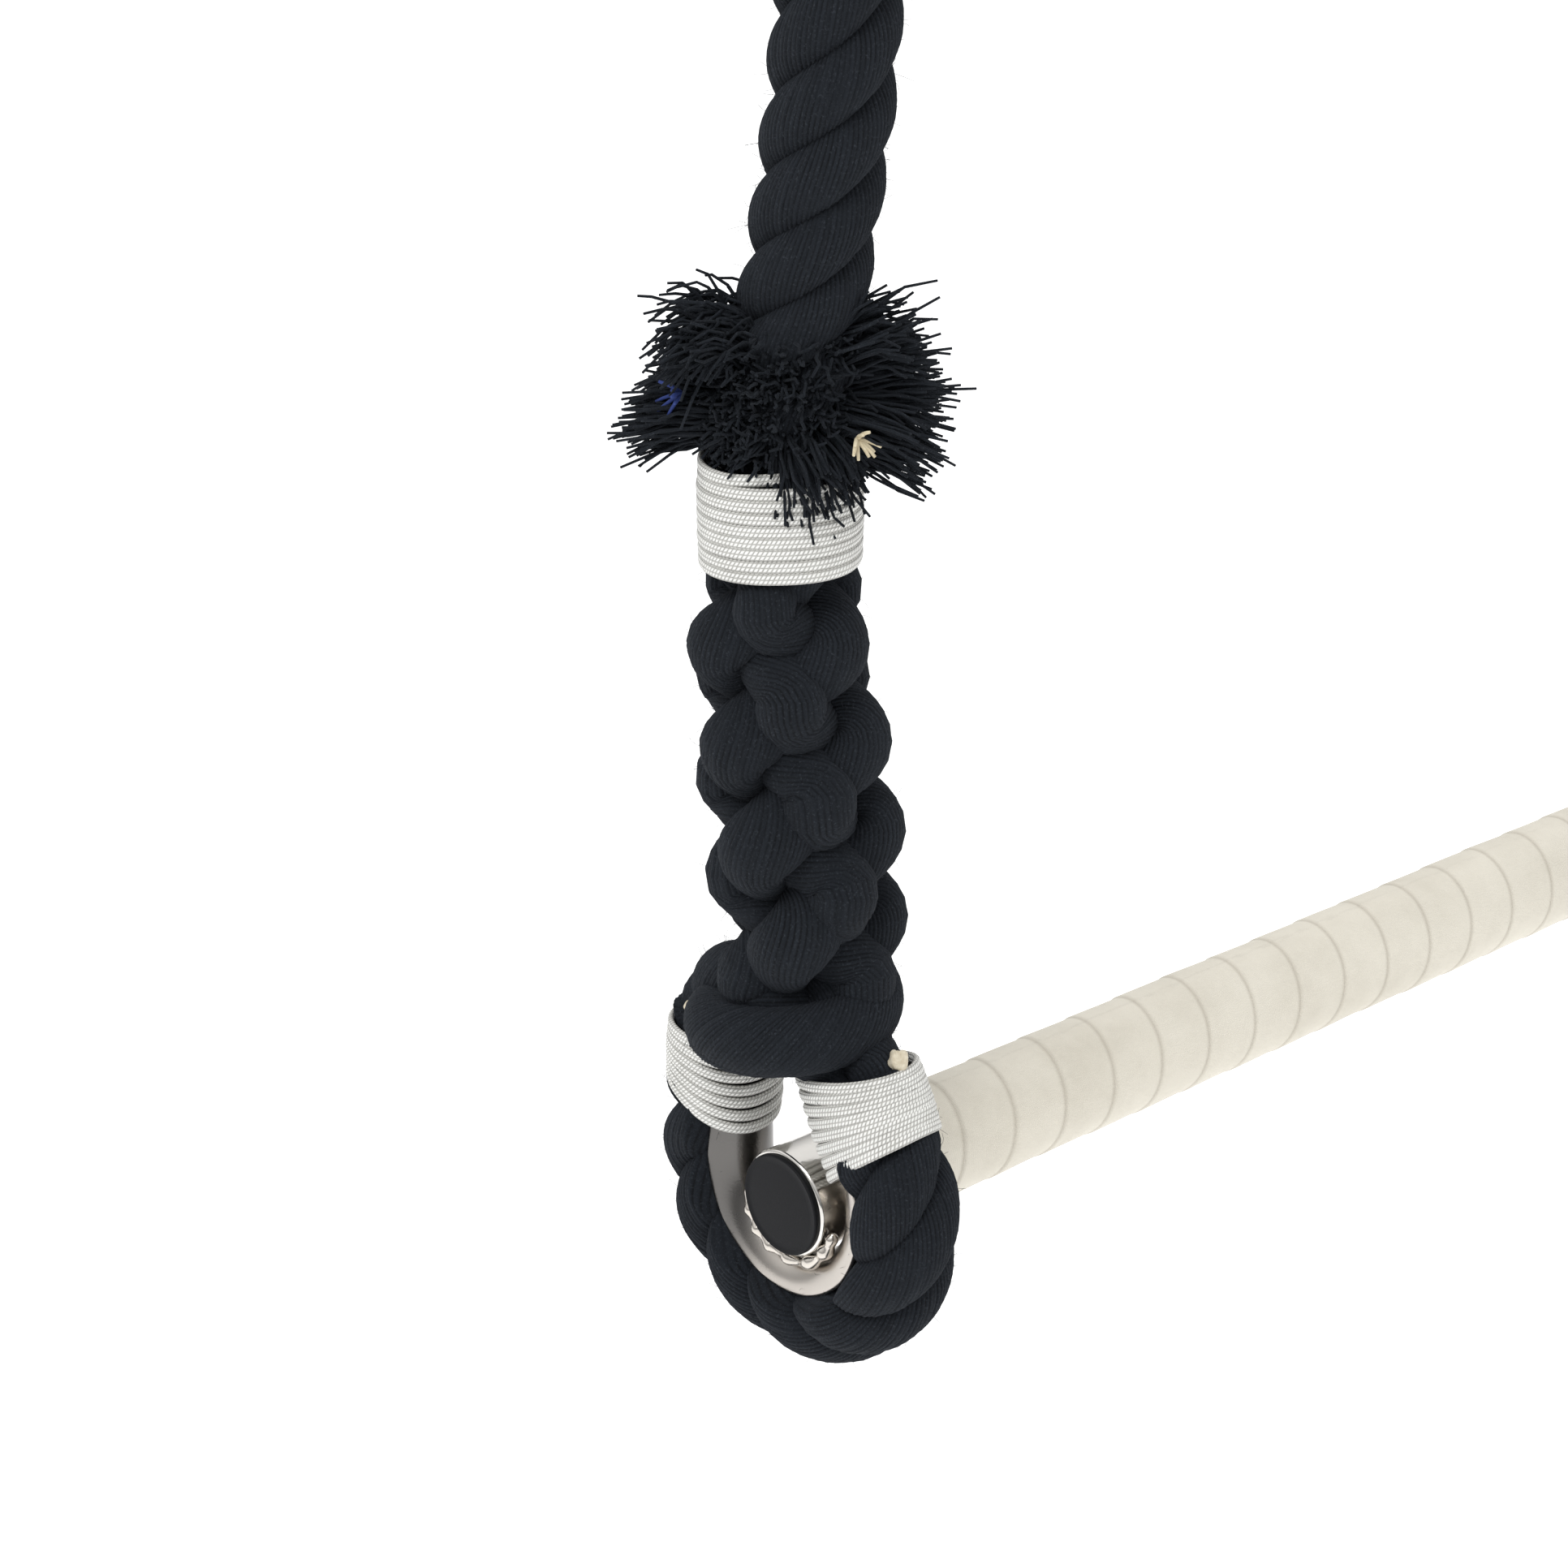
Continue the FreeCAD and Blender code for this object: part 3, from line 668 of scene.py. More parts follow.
spliceShape = {
    "firstCross": 50.4, "crossStep": 12.45, "bottom": 31.0, "top": 200.0,
    "upStep": 52.0, "downStep": 68.0, "twistUp": -0.15, "twistDown": -0.05, "upLean": 6.0, "downLean": 25.0,
    # the legs run on above this height: y of each one's middle there, and how far it moves per millimetre
    "legHeight": 38, "front": (-17.0, 0.50), "rear": (33.0, -0.07), "legOffset": 7.6, "legOval": 0.84,
    # shares of the outer radius
    "middle": 0.475, "swing": 0.20, "bias": 0.02, "deep": 0.305, "acrossUp": 0.375, "acrossDown": 0.35,
    "legDeep": 7.3, "turnHeight": 40, "startBehind": 30,
    # the strand that joins below this height crosses under the weave: it stands proud and sags there,
    # each by an amount at a height with a spread, and settles from a height over a rise
    "lowJoin": 60, "lowAcross": 4.6, "lowProud": (3.0, 44.5, 4.0), "lowSag": (2.0, 47, 7),
    "lowSettle": (50, 14),
    # outer radius at heights above the bar
    "heights": (40, 50, 72, 94, 115, 147, 160, 171, 182, 200),
    "radii": (27.5, 26.8, 24.6, 26.0, 25.6, 23.6, 22.0, 18.4, 17.6, 15.5),
}
# height, x, y of the middle of each splice
spliceLines = {
    "left": [(31, 0, 4.5), (50, 0, 4), (72, 0, 1), (94, -1.5, 3.5), (115, -2.5, 4.5), (147, -5, 7),
             (176, -5.5, 7), (200, -4.8, 7.2)],
    "plain": [(31, 0, 4.5), (50, 0, 4), (72, -0.8, 3), (94, 0.6, 4.6), (115, 1.2, 4.2), (147, 0, 3.4),
              (176, 0, 4), (200, 0, 4)],
}
# each strand: leg, bearing in the leg, bearing of the weave at the first crossing, height where it
# joins the weave, and which way round it climbs
spliceStrands = [
    ("rear", -150, 228, 49.5, 1), ("rear", 90, 108, 62, 1), ("rear", -30, -12, 62, 1),
    ("front", 150, 108, 62, -1), ("front", -90, 228, 62, -1), ("front", 30, 348, 62, -1),
]


def splice(place, name, nodes, which, grade):
    # six strands round one middle line: three climb one way round and three the other way, and
    # each dips in and out so that it passes over and under the others in turn
    shape = spliceShape
    table = np.array(spliceLines[which], float)
    h = np.arange(shape["bottom"], shape["top"], 0.4)
    middle = np.stack([np.interp(h, table[:, 0], table[:, c]) for c in (1, 2)], -1)
    kernel = np.hanning(41) / np.hanning(41).sum()
    padded = np.pad(middle, ((20, 20), (0, 0)), mode="edge")
    middle = np.stack([np.convolve(padded[:, c], kernel, "valid") for c in (0, 1)], -1)
    outer = np.interp(h, shape["heights"], shape["radii"])
    n = (h - shape["firstCross"]) / shape["crossStep"]
    surface = Surface("crest", "tone")
    grade = "woven" if grade == "fine" else grade
    luck = np.random.default_rng(len(name))
    for leg, bearing, joined, joinHeight, way in spliceStrands:
        # where the strand would be if the leg ran straight on
        away, drift = shape[leg]
        low = joinHeight < shape["lowJoin"]
        legMiddle = np.stack([h * 0, away + drift * (h - shape["legHeight"])], -1)
        a = math.radians(bearing)
        ring = np.array([math.cos(a) * shape["legOval"], math.sin(a)])
        inLeg = legMiddle + shape["legOffset"] * ring - middle
        legTurn = np.degrees(np.arctan2(inLeg[:, 1], inLeg[:, 0]))
        weave = joined + (shape["upStep"] if way > 0 else -shape["downStep"]) * n
        # where it lies on top it leans the way the rope is laid, and it turns back underneath
        weave = weave - shape["upLean" if way > 0 else "downLean"] * np.sin(math.pi * n)
        # counted in the whole turn that starts nearest to the weave
        legTurn = legTurn + 360 * round((weave[0] - way * shape["startBehind"] - legTurn[0]) / 360)
        share = soft((h - shape["turnHeight"]) / (joinHeight - shape["turnHeight"]))
        turn = np.radians(legTurn + (weave - legTurn) * share)
        swing = outer * (shape["swing"] * np.cos(math.pi * n) * way + shape["bias"] * way)
        radius = np.linalg.norm(inLeg, axis=1)
        near = soft((h - shape["legHeight"]) / (joinHeight - shape["legHeight"]))
        radius = radius + (outer * shape["middle"] + swing - radius) * near
        level = h
        if low:
            radius = radius + hump(h, *shape["lowProud"])
            level = h - hump(h, *shape["lowSag"])
            begin, over = shape["lowSettle"]
            near = near * soft((h - begin) / over)
        wander = luck.uniform(0, 6.28, 3)
        turn = turn + near * (0.05 * np.sin(h / 15 + wander[0]) + 0.03 * np.sin(h / 7 + wander[1]))
        radius = radius + near * 0.45 * np.sin(h / 9 + wander[2])
        outward = np.stack([np.cos(turn), np.sin(turn), h * 0], -1)
        line = np.concatenate([middle + outward[:, :2] * radius[:, None], level[:, None]], 1)
        thick = shape["legDeep"] + (outer * shape["deep"] - shape["legDeep"]) * near
        narrow = shape["lowAcross" if low else "legDeep"]
        wide = narrow + (outer * shape["acrossUp" if way > 0 else "acrossDown"] - narrow) * near
        twist = shape["twistUp"] if way > 0 else shape["twistDown"]
        addStrand(surface, line, outward, wide, thick, twist, grade)
    piece = surface.build(name, place, finishes["black_cotton_rope"])
    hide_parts(*nodes)
    return piece


# bearing, height of the root, rise in degrees, length, droop, root and tip radius, how many
tasselBunches = [
    {"bearing": 146, "root": 219, "rise": 66, "length": 41, "droop": 29, "size": (6, 9), "yarns": 150},
    {"bearing": 165, "root": 217, "rise": 58, "length": 34, "droop": 20, "size": (6, 9), "yarns": 110},
    {"bearing": 125, "root": 211, "rise": 26, "length": 28, "droop": 14, "size": (6, 8), "yarns": 120},
    {"bearing": 142, "root": 204, "rise": 14, "length": 29, "droop": 7, "size": (6, 8), "yarns": 170},
    {"bearing": -52, "root": 216, "rise": 44, "length": 32, "droop": 9, "size": (6, 10), "yarns": 140},
    {"bearing": -36, "root": 209, "rise": 18, "length": 32, "droop": 6, "size": (7, 10), "yarns": 140},
    {"bearing": -58, "root": 205, "rise": 0, "length": 30, "droop": 6, "size": (7, 9), "yarns": 140},
    {"bearing": -98, "root": 203, "rise": -16, "length": 18, "droop": 7, "size": (6, 9), "yarns": 130},
    {"bearing": -120, "root": 204, "rise": -12, "length": 13, "droop": 13, "size": (5, 6), "yarns": 90},
    {"bearing": 178, "root": 207, "rise": 0, "length": 12, "droop": 3, "size": (8, 10), "yarns": 130},
    {"bearing": -140, "root": 212, "rise": 5, "length": 9, "droop": 2, "size": (10, 11), "yarns": 150},
    {"bearing": 40, "root": 212, "rise": 20, "length": 29, "droop": 12, "size": (7, 11), "yarns": 120},
    {"bearing": 80, "root": 206, "rise": -4, "length": 27, "droop": 8, "size": (7, 10), "yarns": 100},
    {"bearing": 5, "root": 205, "rise": -3, "length": 27, "droop": 8, "size": (7, 10), "yarns": 100},
]
tasselShape = {
    "rootRadius": 6.875, "thick": 0.44, "sides": 5, "rows": 6,
    "fluff": 1300, "fluffHeight": (198, 226), "fluffRadius": (9, 17), "fluffLength": (3, 8),
    "coreFrom": 192, "coreTall": 34, "coreNeck": 6.0, "coreBulge": 6.5,
}


def yarnTubes(surface, paths, thick, sides, luck):
    # paths (yarns, rows, 3): thin round tubes, each closed at both ends
    rows = paths.shape[1]
    tangent = unit(np.gradient(paths, axis=1))
    helper = unit(luck.normal(0, 1, (len(paths), 1, 3)))
    out = unit(np.cross(tangent, helper))
    side = np.cross(tangent, out)
    around = np.arange(sides) / sides * 2 * math.pi
    radius = thick * (1 - 0.25 * np.linspace(0, 1, rows) ** 3)[None, :, None, None]
    ring = out[:, :, None] * np.cos(around)[None, None, :, None]
    ring = ring + side[:, :, None] * np.sin(around)[None, None, :, None]
    tone = luck.uniform(0, 1, (len(paths), 1, 1))
    crest = luck.uniform(0.35, 1.0, (len(paths), 1, 1))
    surface.add(paths[:, :, None] + ring * radius, crest=crest, tone=tone)


def tassel(place, name, nodes, middle, seed, full, spin=0.0):
    # bunches of yarns: each path leaves its root straight, spreads towards its tip, and droops and
    # wanders with the square of the way travelled
    luck = np.random.default_rng(seed)
    surface = Surface("crest", "tone")
    t = np.linspace(0, 1, tasselShape["rows"])[None, :, None]
    for bunch in tasselBunches:
        many = int(bunch["yarns"] * full)
        a = math.radians(bunch["bearing"] + spin)
        level = np.array([math.cos(a), math.sin(a), 0.0])
        rise = math.radians(bunch["rise"])
        way = level * math.cos(rise) + np.array([0, 0, math.sin(rise)])
        side = np.array([-math.sin(a), math.cos(a), 0.0])
        top = np.cross(way, side)
        disc = np.sqrt(luck.uniform(0, 1, (many, 1, 1)))
        around = luck.uniform(0, 2 * math.pi, (many, 1, 1))
        spread = disc * (bunch["size"][0] + (bunch["size"][1] - bunch["size"][0]) * t)
        root = np.array([middle[0], middle[1], bunch["root"]]) + level * tasselShape["rootRadius"]
        length = bunch["length"] * luck.normal(1.0, 0.07, (many, 1, 1)).clip(0.8, 1.1) * (1 - 0.1 * disc)
        stray = luck.normal(0, 0.055, (many, 1, 3))
        wild = luck.uniform(0, 1, (many, 1, 1)) > 0.93
        stray = stray + wild * luck.normal(0, 0.11, (many, 1, 3))
        paths = root + (way + stray) * (length * t)
        paths = paths + side * (spread * np.cos(around)) + top * (spread * np.sin(around))
        paths = paths - np.array([0, 0, 1.0]) * bunch["droop"] * t ** 2 * luck.normal(1, 0.15, (many, 1, 1))
        wiggle = np.sin(t * luck.uniform(5, 11, (many, 1, 3)) + luck.uniform(0, 6.28, (many, 1, 3)))
        paths = paths + wiggle * 1.0 * t + luck.normal(0, 0.8, (many, 1, 3)) * t ** 2
        yarnTubes(surface, paths, tasselShape["thick"], tasselShape["sides"], luck)
    # short cut ends all round the root
    many = int(tasselShape["fluff"] * full)
    a = luck.uniform(0, 2 * math.pi, (many, 1, 1))
    level = np.concatenate([np.cos(a), np.sin(a), a * 0], -1)
    height = luck.uniform(*tasselShape["fluffHeight"], (many, 1, 1))
    away = luck.uniform(*tasselShape["fluffRadius"], (many, 1, 1))
    root = np.array([middle[0], middle[1], 0.0]) + level * away + np.array([0, 0, 1.0]) * height
    way = level + luck.normal(0, 0.7, (many, 1, 3)) + np.array([0, 0, 1.0]) * (height - 208) / 26
    curl = np.cumsum(luck.normal(0, 0.6, (many, tasselShape["rows"], 3)), axis=1)
    paths = root + unit(way) * luck.uniform(*tasselShape["fluffLength"], (many, 1, 1)) * t + curl
    yarnTubes(surface, paths, tasselShape["thick"], 4, luck)
    # a soft core that fills the middle behind the yarns
    rows, cols = 16, 48
    v = np.linspace(0, 1, rows)[:, None]
    turn = np.linspace(0, 2 * math.pi, cols, endpoint=False)[None, :]
    lumps = 1 + 0.10 * np.sin(3 * turn + 5 * v) + 0.06 * np.sin(7 * turn - 9 * v)
    bulge = tasselShape["coreBulge"] * np.sin(math.pi * np.clip(v, 0.02, 0.98))
    radius = (tasselShape["coreNeck"] + bulge) * lumps
    height = tasselShape["coreFrom"] + tasselShape["coreTall"] * v + turn * 0
    core = np.stack([middle[0] + radius * np.cos(turn), middle[1] + radius * np.sin(turn), height], -1)
    surface.add(core, crest=0.3, tone=0.2)
    piece = surface.build(name, place, finishes["cotton_yarn"])
    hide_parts(*nodes)
    return piece


oddYarns = {
    "left_cream_ends": {"finish": "cream_core", "bearing": -87, "height": 205, "reach": 25, "count": 9,
                        "length": 5.5, "seed": 5},
    "left_blue_ends": {"finish": "blue_core", "bearing": 158, "height": 213, "reach": 24, "count": 7,
                       "length": 7, "seed": 6},
}


def coreYarns(place, name, middle):
    # a few odd-coloured yarn ends that fan out of the tassel
    odd = oddYarns[name]
    count = odd["count"]
    luck = np.random.default_rng(odd["seed"])
    a = math.radians(odd["bearing"])
    level = np.array([math.cos(a), math.sin(a), 0.0])
    side = np.array([-math.sin(a), math.cos(a), 0.0])
    root = np.array([middle[0], middle[1], odd["height"]]) + level * odd["reach"]
    t = np.linspace(0, 1, 5)[None, :, None]
    fan = np.linspace(-1.3, 1.3, count)[:, None, None] + luck.normal(0, 0.1, (count, 1, 1))
    rise = np.cos(fan) * luck.choice([-0.7, 0.8], (count, 1, 1))
    way = unit(level * 0.75 + side * np.sin(fan) + np.array([0, 0, 1.0]) * rise)
    reached = luck.uniform(0.7, 1.1, (count, 1, 1)) * odd["length"]
    paths = root + way * reached * t - np.array([0, 0, 1.5]) * t ** 2
    surface = Surface("crest", "tone")
    yarnTubes(surface, paths, 0.5, 6, luck)
    return surface.build(name, place, finishes[odd["finish"]])


# x, y, height above the bar and size of each sealed end
sealedEnds = [(1.4, -28.4, 46.6, 2.5), (-8.0, 38.5, 40.5, 1.6), (2.3, -37.0, 26.0, 1.2)]


def meltedEnds(place, name, seed):
    # the sealed ends of the white cord: small uneven lumps
    luck = np.random.default_rng(seed)
    surface = Surface()
    v = np.linspace(0.06, math.pi - 0.06, 12)[:, None]
    turn = np.linspace(0, 2 * math.pi, 20, endpoint=False)[None, :]
    for x, y, h, size in sealedEnds:
        a, b, c = luck.uniform(0, 6.28, 3)
        bumps = 1 + 0.22 * np.sin(3 * turn + a) * np.sin(2 * v + b)
        bumps = bumps + 0.14 * np.sin(5 * turn + c) * np.sin(3 * v)
        flat = turn * 0
        ball = np.stack([np.sin(v) * np.cos(turn), np.sin(v) * np.sin(turn), flat - np.cos(v) * 1.15], -1)
        surface.add(ball * bumps[..., None] * size + np.array([x, y, h]))
    return surface.build(name, place, finishes["melted_end"])


fuzzShape = {"thick": 0.05, "length": (1.0, 3.0), "share": 0.03}


def fuzz(piece, name, seed):
    # short stray fibres that stand on some of the strands' own points
    luck = np.random.default_rng(seed)
    mesh = piece.data
    many = len(mesh.vertices)
    points, normals = np.empty(many * 3), np.empty(many * 3)
    mesh.vertices.foreach_get("co", points)
    mesh.vertices.foreach_get("normal", normals)
    points, normals = points.reshape(-1, 3) / metre, normals.reshape(-1, 3)
    picked = luck.choice(many, int(many * fuzzShape["share"]), replace=False)
    lean = unit(normals[picked] + luck.normal(0, 0.9, (len(picked), 3)) * 0.8)
    t = np.linspace(0, 1, 4)[None, :, None]
    length = luck.uniform(*fuzzShape["length"], (len(picked), 1, 1))
    curl = luck.normal(0, 0.9, (len(picked), 1, 3))
    paths = points[picked][:, None] + lean[:, None] * length * t + curl * t ** 2
    surface = Surface("crest", "tone")
    yarnTubes(surface, paths, fuzzShape["thick"], 3, luck)
    return surface.build(name, lambda p: p, finishes["cotton_yarn"])


# the round whipping on top of each splice, and the side of it where its ends are hidden
neck = {"height": 182.2, "middleAt": 182, "radius": 19.6, "turns": 8.5}
farSide = np.array([0.67, 0.7424, 0])
sparse = {"full": 0.35, "spin": 40.0}  # how full the plainer tassels are, and their first turn
for side, x in (("left", 0.0), ("right", ropeSpacing)):
    for end in ("", "top_"):
        place = placeAtBar(x) if end == "" else placeAtHanger(x)
        body = side + "_rope"
        holder = "bar" if end == "" else body
        name = side + "_" + end
        seed = 7 * len(name) + len(side)
        finest = name == "left_"
        form = "left" if finest else "plain"
        grade = "fine" if finest else "coarse"
        eye = eyeForms["bar" if end == "" else "hanger"]
        thimbleNode = name + ("bar_thimble" if end == "" else "thimble")
        pieces = [
            eyeStrands(place, name + "eye_strands", [name + "eye_rope"], grade, eyeShape["phase"], eye),
            gutter(place, name + "gutter_ring", [thimbleNode], eye),
        ]
        for k, leg in enumerate(("front", "rear")):
            cord, node = name + leg + "_leg_cord", name + leg + "_leg_whipping"
            pieces.append(legWhipping(place, cord, [node], leg, seed + 1 + k, eye))
        for piece in pieces:
            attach(piece, holder)
        woven = splice(place, name + "splice_strands", [name + "splice"], form, grade)
        if end:
            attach(woven, body)
        else:
            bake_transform(woven)
        table = np.array(spliceLines[form], float)
        middle = [float(np.interp(neck["middleAt"], table[:, 0], table[:, c])) for c in (1, 2)]
        centre = np.array([middle[0], middle[1], neck["height"]])
        band = whipping(place, name + "splice_cord", [name + "splice_whipping"], centre, farSide,
                        np.array([0, 0, 1.0]), (neck["radius"], neck["radius"]), neck["turns"], seed + 3)
        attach(band, body)
        full, spin = (1.0, 0.0) if finest else (sparse["full"], sparse["spin"] + seed)
        brush = tassel(place, name + "yarn_tassel", [name + "tassel"], middle, seed + 4, full, spin)
        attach(brush, body)
        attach(fuzz(pieces[0], name + "eye_fuzz", seed + 5), holder)
        if finest:
            spliceFuzz = fuzz(woven, name + "splice_fuzz", seed + 6)
            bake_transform(spliceFuzz)
        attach(meltedEnds(place, name + "sealed_ends", seed + 6), holder)
        print("eye done", name)

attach(fuzz(bpy.data.objects["left_standing_rope"], "left_rope_fuzz", 90), "left_rope")
middle = (-5.4, 7.0)  # of the left tassel
for name in oddYarns:
    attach(coreYarns(placeAtBar(0), name, middle), "left_rope")

barShape = {
    "radius": 14.3, "wall": 3.0, "chamfer": 0.7, "from": -10.5, "to": 610.5,
    "tapeFrom": 24.0, "tapeTo": 576.0, "rings": (40, 60, 180),
}


def lathe(surface, profile, cols=96, **values):
    # a profile of (x, radius) turned about the bar's axis
    profile = np.array(profile, float)
    turn = np.linspace(0, 2 * math.pi, cols, endpoint=False)
    x = np.broadcast_to(profile[:, :1], (len(profile), cols))
    points = np.stack([x, profile[:, 1:2] * np.cos(turn), profile[:, 1:2] * np.sin(turn)], -1)
    surface.add(points, **values)


def barTube():
    # outer wall, chamfers and bore as one closed loop turned about the axis
    r, wall, c = barShape["radius"], barShape["wall"], barShape["chamfer"]
    a, b = barShape["from"], barShape["to"]
    inside = r - wall
    bore, near, far = barShape["rings"]  # how far from each end the long walls are divided
    loop = [(a + c, r), (a + 0.3 * c, r - 0.3 * c), (a, r - c), (a, inside), (a + bore, inside),
            (b - bore, inside), (b, inside), (b, r - c), (b - 0.3 * c, r - 0.3 * c), (b - c, r),
            (b - near, r), (b - far, r), (a + far, r), (a + near, r), (a + c, r)]
    surface = Surface()
    lathe(surface, loop[::-1], capped=False)
    return surface.build("polished_bar", placeAtBar(0), finishes["polished_steel"])


tube = barTube()
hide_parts("bar_tube")
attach(tube, "bar")

tapeShape = {
    "pitch": 18.6, "base": 0.75, "lap": 0.42, "around": 120, "seed": 3,
    "edge": 0.035, "slope": 0.75, "stepShade": 0.03,  # the lap's rise and fall, and the width of the painted shade along each step, per turn
}


def gripTape():
    # a strip wound with half its width over the last turn: a helical sheet whose radius steps
    # down at each edge and slopes gently in between
    shape = tapeShape
    luck = np.random.default_rng(shape["seed"])
    a, b = barShape["tapeFrom"], barShape["tapeTo"]
    cols = shape["around"]
    strips = int((b - a) / shape["pitch"]) + 4
    part = np.concatenate([np.linspace(0, 0.12, 4), np.linspace(0.2, 0.94, 5), [0.985]])
    turn = np.arange(cols + 1) / cols
    rows = (np.arange(strips)[:, None] + part[None, :]).ravel()
    inside = np.tile(part, strips)
    x = a + shape["pitch"] * (rows[:, None] - 2 + turn[None, :])
    # height above the tube: sharp front edge at 0, gentle fall to the next edge
    step = shape["lap"] * (soft(inside / shape["edge"]) - shape["slope"] * inside)
    wander = luck.normal(0, 0.05, (12,))
    waves = 0
    for i in range(6):
        phase = (i + 2) * 2 * math.pi * turn[None, :] + 1.7 * i + x * 0.05 * (i + 1)
        waves = waves + wander[i] * np.sin(phase)
    radius = barShape["radius"] + shape["base"] + step[:, None] + waves * 0.5
    # painted shade mask: a dark line at both edges of each lap, along the step
    edge = np.exp(-(inside / shape["stepShade"]) ** 2) + np.exp(-((1 - inside) / shape["stepShade"]) ** 2)
    clipped = np.clip(x, a, b)
    radius = np.where(clipped != x, barShape["radius"] + shape["base"], radius)
    angle = 2 * math.pi * turn[None, :] + x * 0
    points = np.stack([clipped, radius * np.sin(angle), radius * np.cos(angle)], -1)
    foot, last = barShape["radius"] - 0.05, angle[[0, -1]]
    caps = np.stack([clipped[[0, -1]], foot * np.sin(last), foot * np.cos(last)], -1)
    points = np.concatenate([caps[:1], points, caps[1:]])
    lap = np.concatenate([[0], edge, [0]])[:, None]
    surface = Surface("lap", "run", "girth")
    surface.add(points, around=False, capped=False, lap=lap, run=np.concatenate([x[:1], x, x[-1:]]),
                girth=np.concatenate([angle[:1], angle, angle[-1:]]) * barShape["radius"])
    piece = surface.build("wound_tape", placeAtBar(0), finishes["cotton_tape"])
    # the strip's long seam and the flat ends are joined up
    work = bmesh.new()
    work.from_mesh(piece.data)
    bmesh.ops.remove_doubles(work, verts=work.verts, dist=2e-5)
    bmesh.ops.recalc_face_normals(work, faces=work.faces)
    work.to_mesh(piece.data)
    work.free()
    return piece


tape = gripTape()
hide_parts("grip_tape")
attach(tape, "bar")

plugShape = {
    "outside": -12.0, "face": 13.45, "flange": 1.5, "crown": 0.35, "soften": 0.55,
    "stem": 10.9, "stemLong": 17.5, "stemTaper": 0.3,
}
weldShape = {
    "reach": 16.2, "middle": -8.6, "bead": 2.5, "from": 190.0, "to": 352.0, "lumps": 7,
    "points": 150, "fade": 14,
}


def placeAtEnd(mirrored):
    # shapes made for the left end, turned half round for the right one
    flip = np.array([-1.0, -1.0, 1.0]) if mirrored else np.array([1.0, 1.0, 1.0])
    move = placeAtBar(ropeSpacing if mirrored else 0)
    return lambda p: move(p * flip)


def endPlug(side, mirrored):
    # a flat crowned face with a rounded rim, and the stem that goes into the tube
    p = plugShape
    a = p["outside"]
    soften = p["soften"]
    quarter = np.linspace(0, math.pi / 2, 6)
    rim = [(a + soften - soften * math.cos(t), p["face"] - soften + soften * math.sin(t)) for t in quarter]
    crown = [(a - p["crown"] * (1 - (r / p["face"]) ** 2) + 0.3, r) for r in (0.6, 4, 8, 11, 12.4)]
    stem = [(a + p["flange"], p["stem"]), (a + p["stemLong"], p["stem"] - p["stemTaper"])]
    loop = crown + rim + [(a + p["flange"], p["face"])] + stem
    surface = Surface()
    lathe(surface, loop, 72)
    place = placeAtEnd(mirrored)
    piece = surface.build(side + "_plug_face", place, finishes["black_plastic"])
    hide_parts(side + "_end_plug")
    return piece


def weld(side, mirrored, seed):
    # a lumpy run of weld between tube and gutter: ripples along an arc under the bar
    w = weldShape
    luck = np.random.default_rng(seed)
    many = w["points"]
    turn = np.radians(np.linspace(w["from"], w["to"], many))
    phase = np.linspace(0, w["lumps"] * math.pi, many)
    ripple = 0.80 + 0.20 * np.sin(2 * phase + 1.6 * np.sin(phase * 0.37)) + luck.normal(0, 0.004, many)
    fade = np.clip(np.minimum(np.linspace(0, w["fade"], many), np.linspace(w["fade"], 0, many)), 0.05, 1)
    size = w["bead"] * ripple * np.sqrt(fade)
    middle = w["middle"] + 0.35 * np.sin(phase * 0.63 + 1)
    line = np.stack([middle, np.cos(turn) * w["reach"], np.sin(turn) * w["reach"]], -1)
    outward = np.stack([turn * 0, np.cos(turn), np.sin(turn)], -1)
    tangent, out, across = frameAlong(line, outward)
    around = np.arange(20) / 20 * 2 * math.pi
    bulk = out[:, None] * (np.cos(around) * 0.85)[None, :, None]
    bulk = bulk + across[:, None] * np.sin(around)[None, :, None]
    surface = Surface()
    surface.add(line[:, None] + bulk * size[:, None, None])
    piece = surface.build(side + "_weld_run", placeAtEnd(mirrored), finishes["weld_metal"])
    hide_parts(side + "_weld_bead")
    return piece


for side, mirrored in (("left", False), ("right", True)):
    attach(endPlug(side, mirrored), "bar")
    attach(weld(side, mirrored, 11), "bar")
    for node in ("shackle_bow", "shackle_bolt", "shackle_nut", "shackle_cotter"):
        part = bpy.data.objects[side + "_" + node]
        bright = node in ("shackle_bolt", "shackle_cotter")
        for k in range(len(part.material_slots)):
            part.material_slots[k].material = finishes["bright_pin_steel" if bright else "galvanised_steel"]
print("bar done")

studio = {
    "floor": -1.95, "floorSize": 30.0, "paper": (0.95, 0.95, 0.95, 1), "floorGlow": 0.44,
    "zenith": 1.08, "horizon": 0.30, "ceilingFrom": 0.55, "brightSide": (0.67, 0.74, 0.0), "darkShare": 0.6,
    "middle": (0, 0, -0.55),
}
studioLights = {
    "key": {"place": (-1.5, -0.4, 1.4), "size": (1.1, 1.1), "power": 28.0},
    "fill": {"place": (0.6, -2.4, 0.3), "size": (1.6, 1.6), "power": 5.0},
}


def softLight(name, form, target):
    light = bpy.data.lights.new(name, "AREA")
    light.shape = "RECTANGLE"
    light.size, light.size_y = form["size"]
    light.energy = form["power"]
    lamp = bpy.data.objects.new(name, light)
    bpy.context.scene.collection.objects.link(lamp)
    lamp.location = form["place"]
    aim = np.array(target) - np.array(form["place"])
    tip = math.acos(-aim[2] / np.linalg.norm(aim))
    lamp.rotation_euler = (tip, 0, math.atan2(aim[1], aim[0]) - math.pi / 2)


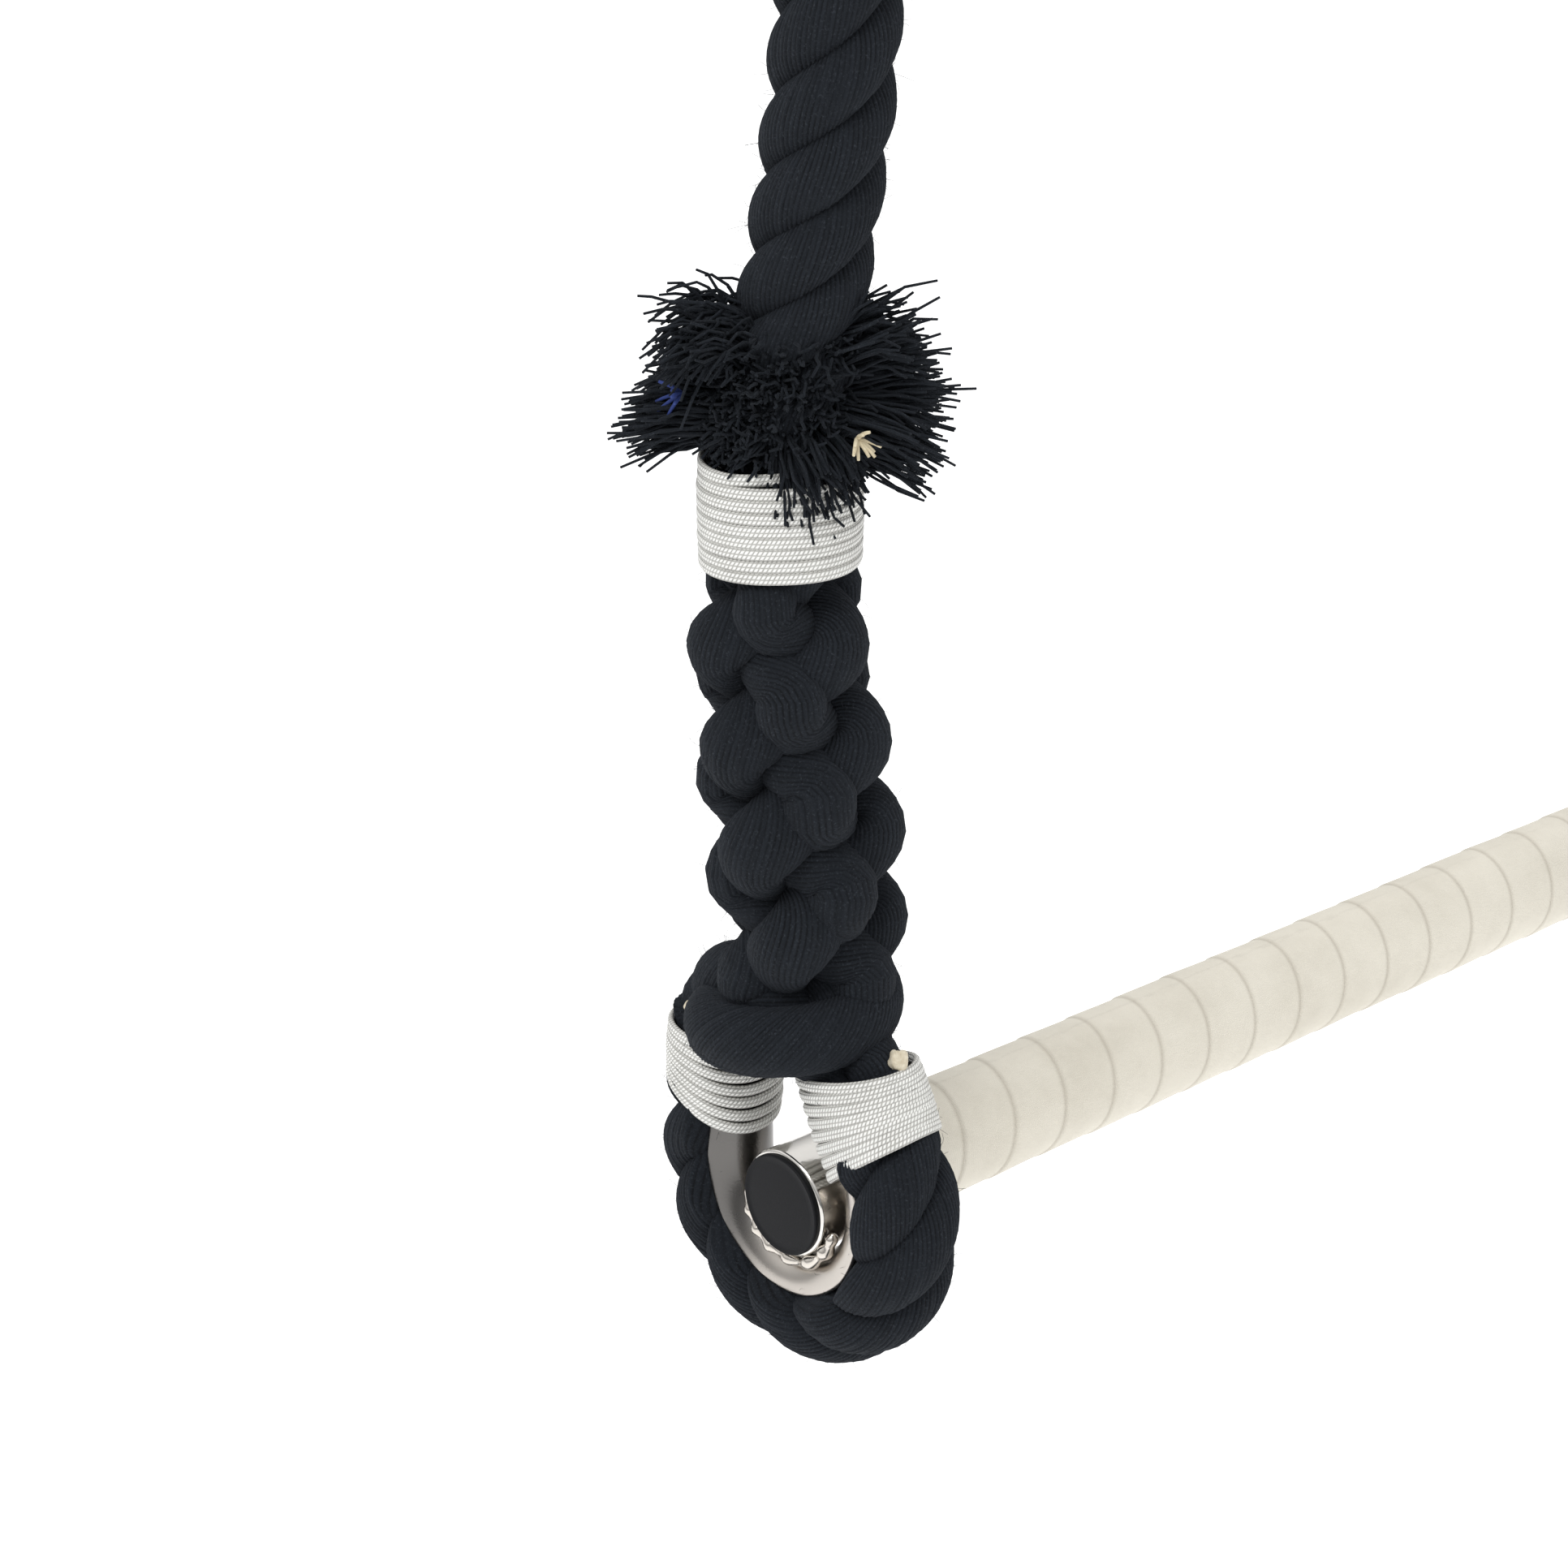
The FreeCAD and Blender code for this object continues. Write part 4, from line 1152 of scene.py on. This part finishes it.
def studioSet():
    half = studio["floorSize"]
    mesh = bpy.data.meshes.new("studio_floor")
    corners = ((-half, -half), (half, -half), (half, half), (-half, half))
    mesh.from_pydata([(x, y, studio["floor"]) for x, y in corners], [], [(0, 1, 2, 3)])
    floor = bpy.data.objects.new("studio_floor", mesh)
    bpy.context.scene.collection.objects.link(floor)
    f = Finish("studio_paper", Roughness=1.0, Specular_IOR_Level=0.0)
    f.shader.inputs["Base Color"].default_value = studio["paper"]
    f.shader.inputs["Emission Color"].default_value = (1, 1, 1, 1)
    f.shader.inputs["Emission Strength"].default_value = studio["floorGlow"]
    mesh.materials.append(f.material)
    world = bpy.data.worlds.new("studio")
    bpy.context.scene.world = world
    world.use_nodes = True
    # a bright ceiling that fades towards the horizon, so that metal has something to reflect
    tree = world.node_tree
    where = tree.nodes.new("ShaderNodeTexCoord")
    split = tree.nodes.new("ShaderNodeSeparateXYZ")
    ramp = tree.nodes.new("ShaderNodeMapRange")
    tree.links.new(where.outputs["Generated"], split.inputs[0])
    tree.links.new(split.outputs["Z"], ramp.inputs["Value"])
    # and a darker side towards the front left, like the open end of a room
    side = tree.nodes.new("ShaderNodeVectorMath")
    side.operation = "DOT_PRODUCT"
    side.inputs[1].default_value = studio["brightSide"]
    shade = tree.nodes.new("ShaderNodeMapRange")
    shade.inputs["From Min"].default_value = -1.0
    shade.inputs["From Max"].default_value = 0.0
    shade.inputs["To Min"].default_value = studio["darkShare"]
    shade.inputs["To Max"].default_value = 1.0
    both = tree.nodes.new("ShaderNodeMath")
    both.operation = "MULTIPLY"
    tree.links.new(where.outputs["Generated"], side.inputs[0])
    tree.links.new(side.outputs["Value"], shade.inputs["Value"])
    tree.links.new(shade.outputs[0], both.inputs[0])
    tree.links.new(ramp.outputs[0], both.inputs[1])
    tree.links.new(both.outputs[0], tree.nodes["Background"].inputs["Strength"])
    ramp.inputs["From Min"].default_value = 0.0
    ramp.inputs["From Max"].default_value = studio["ceilingFrom"]
    ramp.inputs["To Min"].default_value = studio["horizon"]
    ramp.inputs["To Max"].default_value = studio["zenith"]
    tree.nodes["Background"].inputs["Color"].default_value = (1, 1, 1, 1)
    for name, form in studioLights.items():
        softLight(name, form, studio["middle"])
    bpy.context.scene.view_settings.view_transform = "Standard"


studioSet()
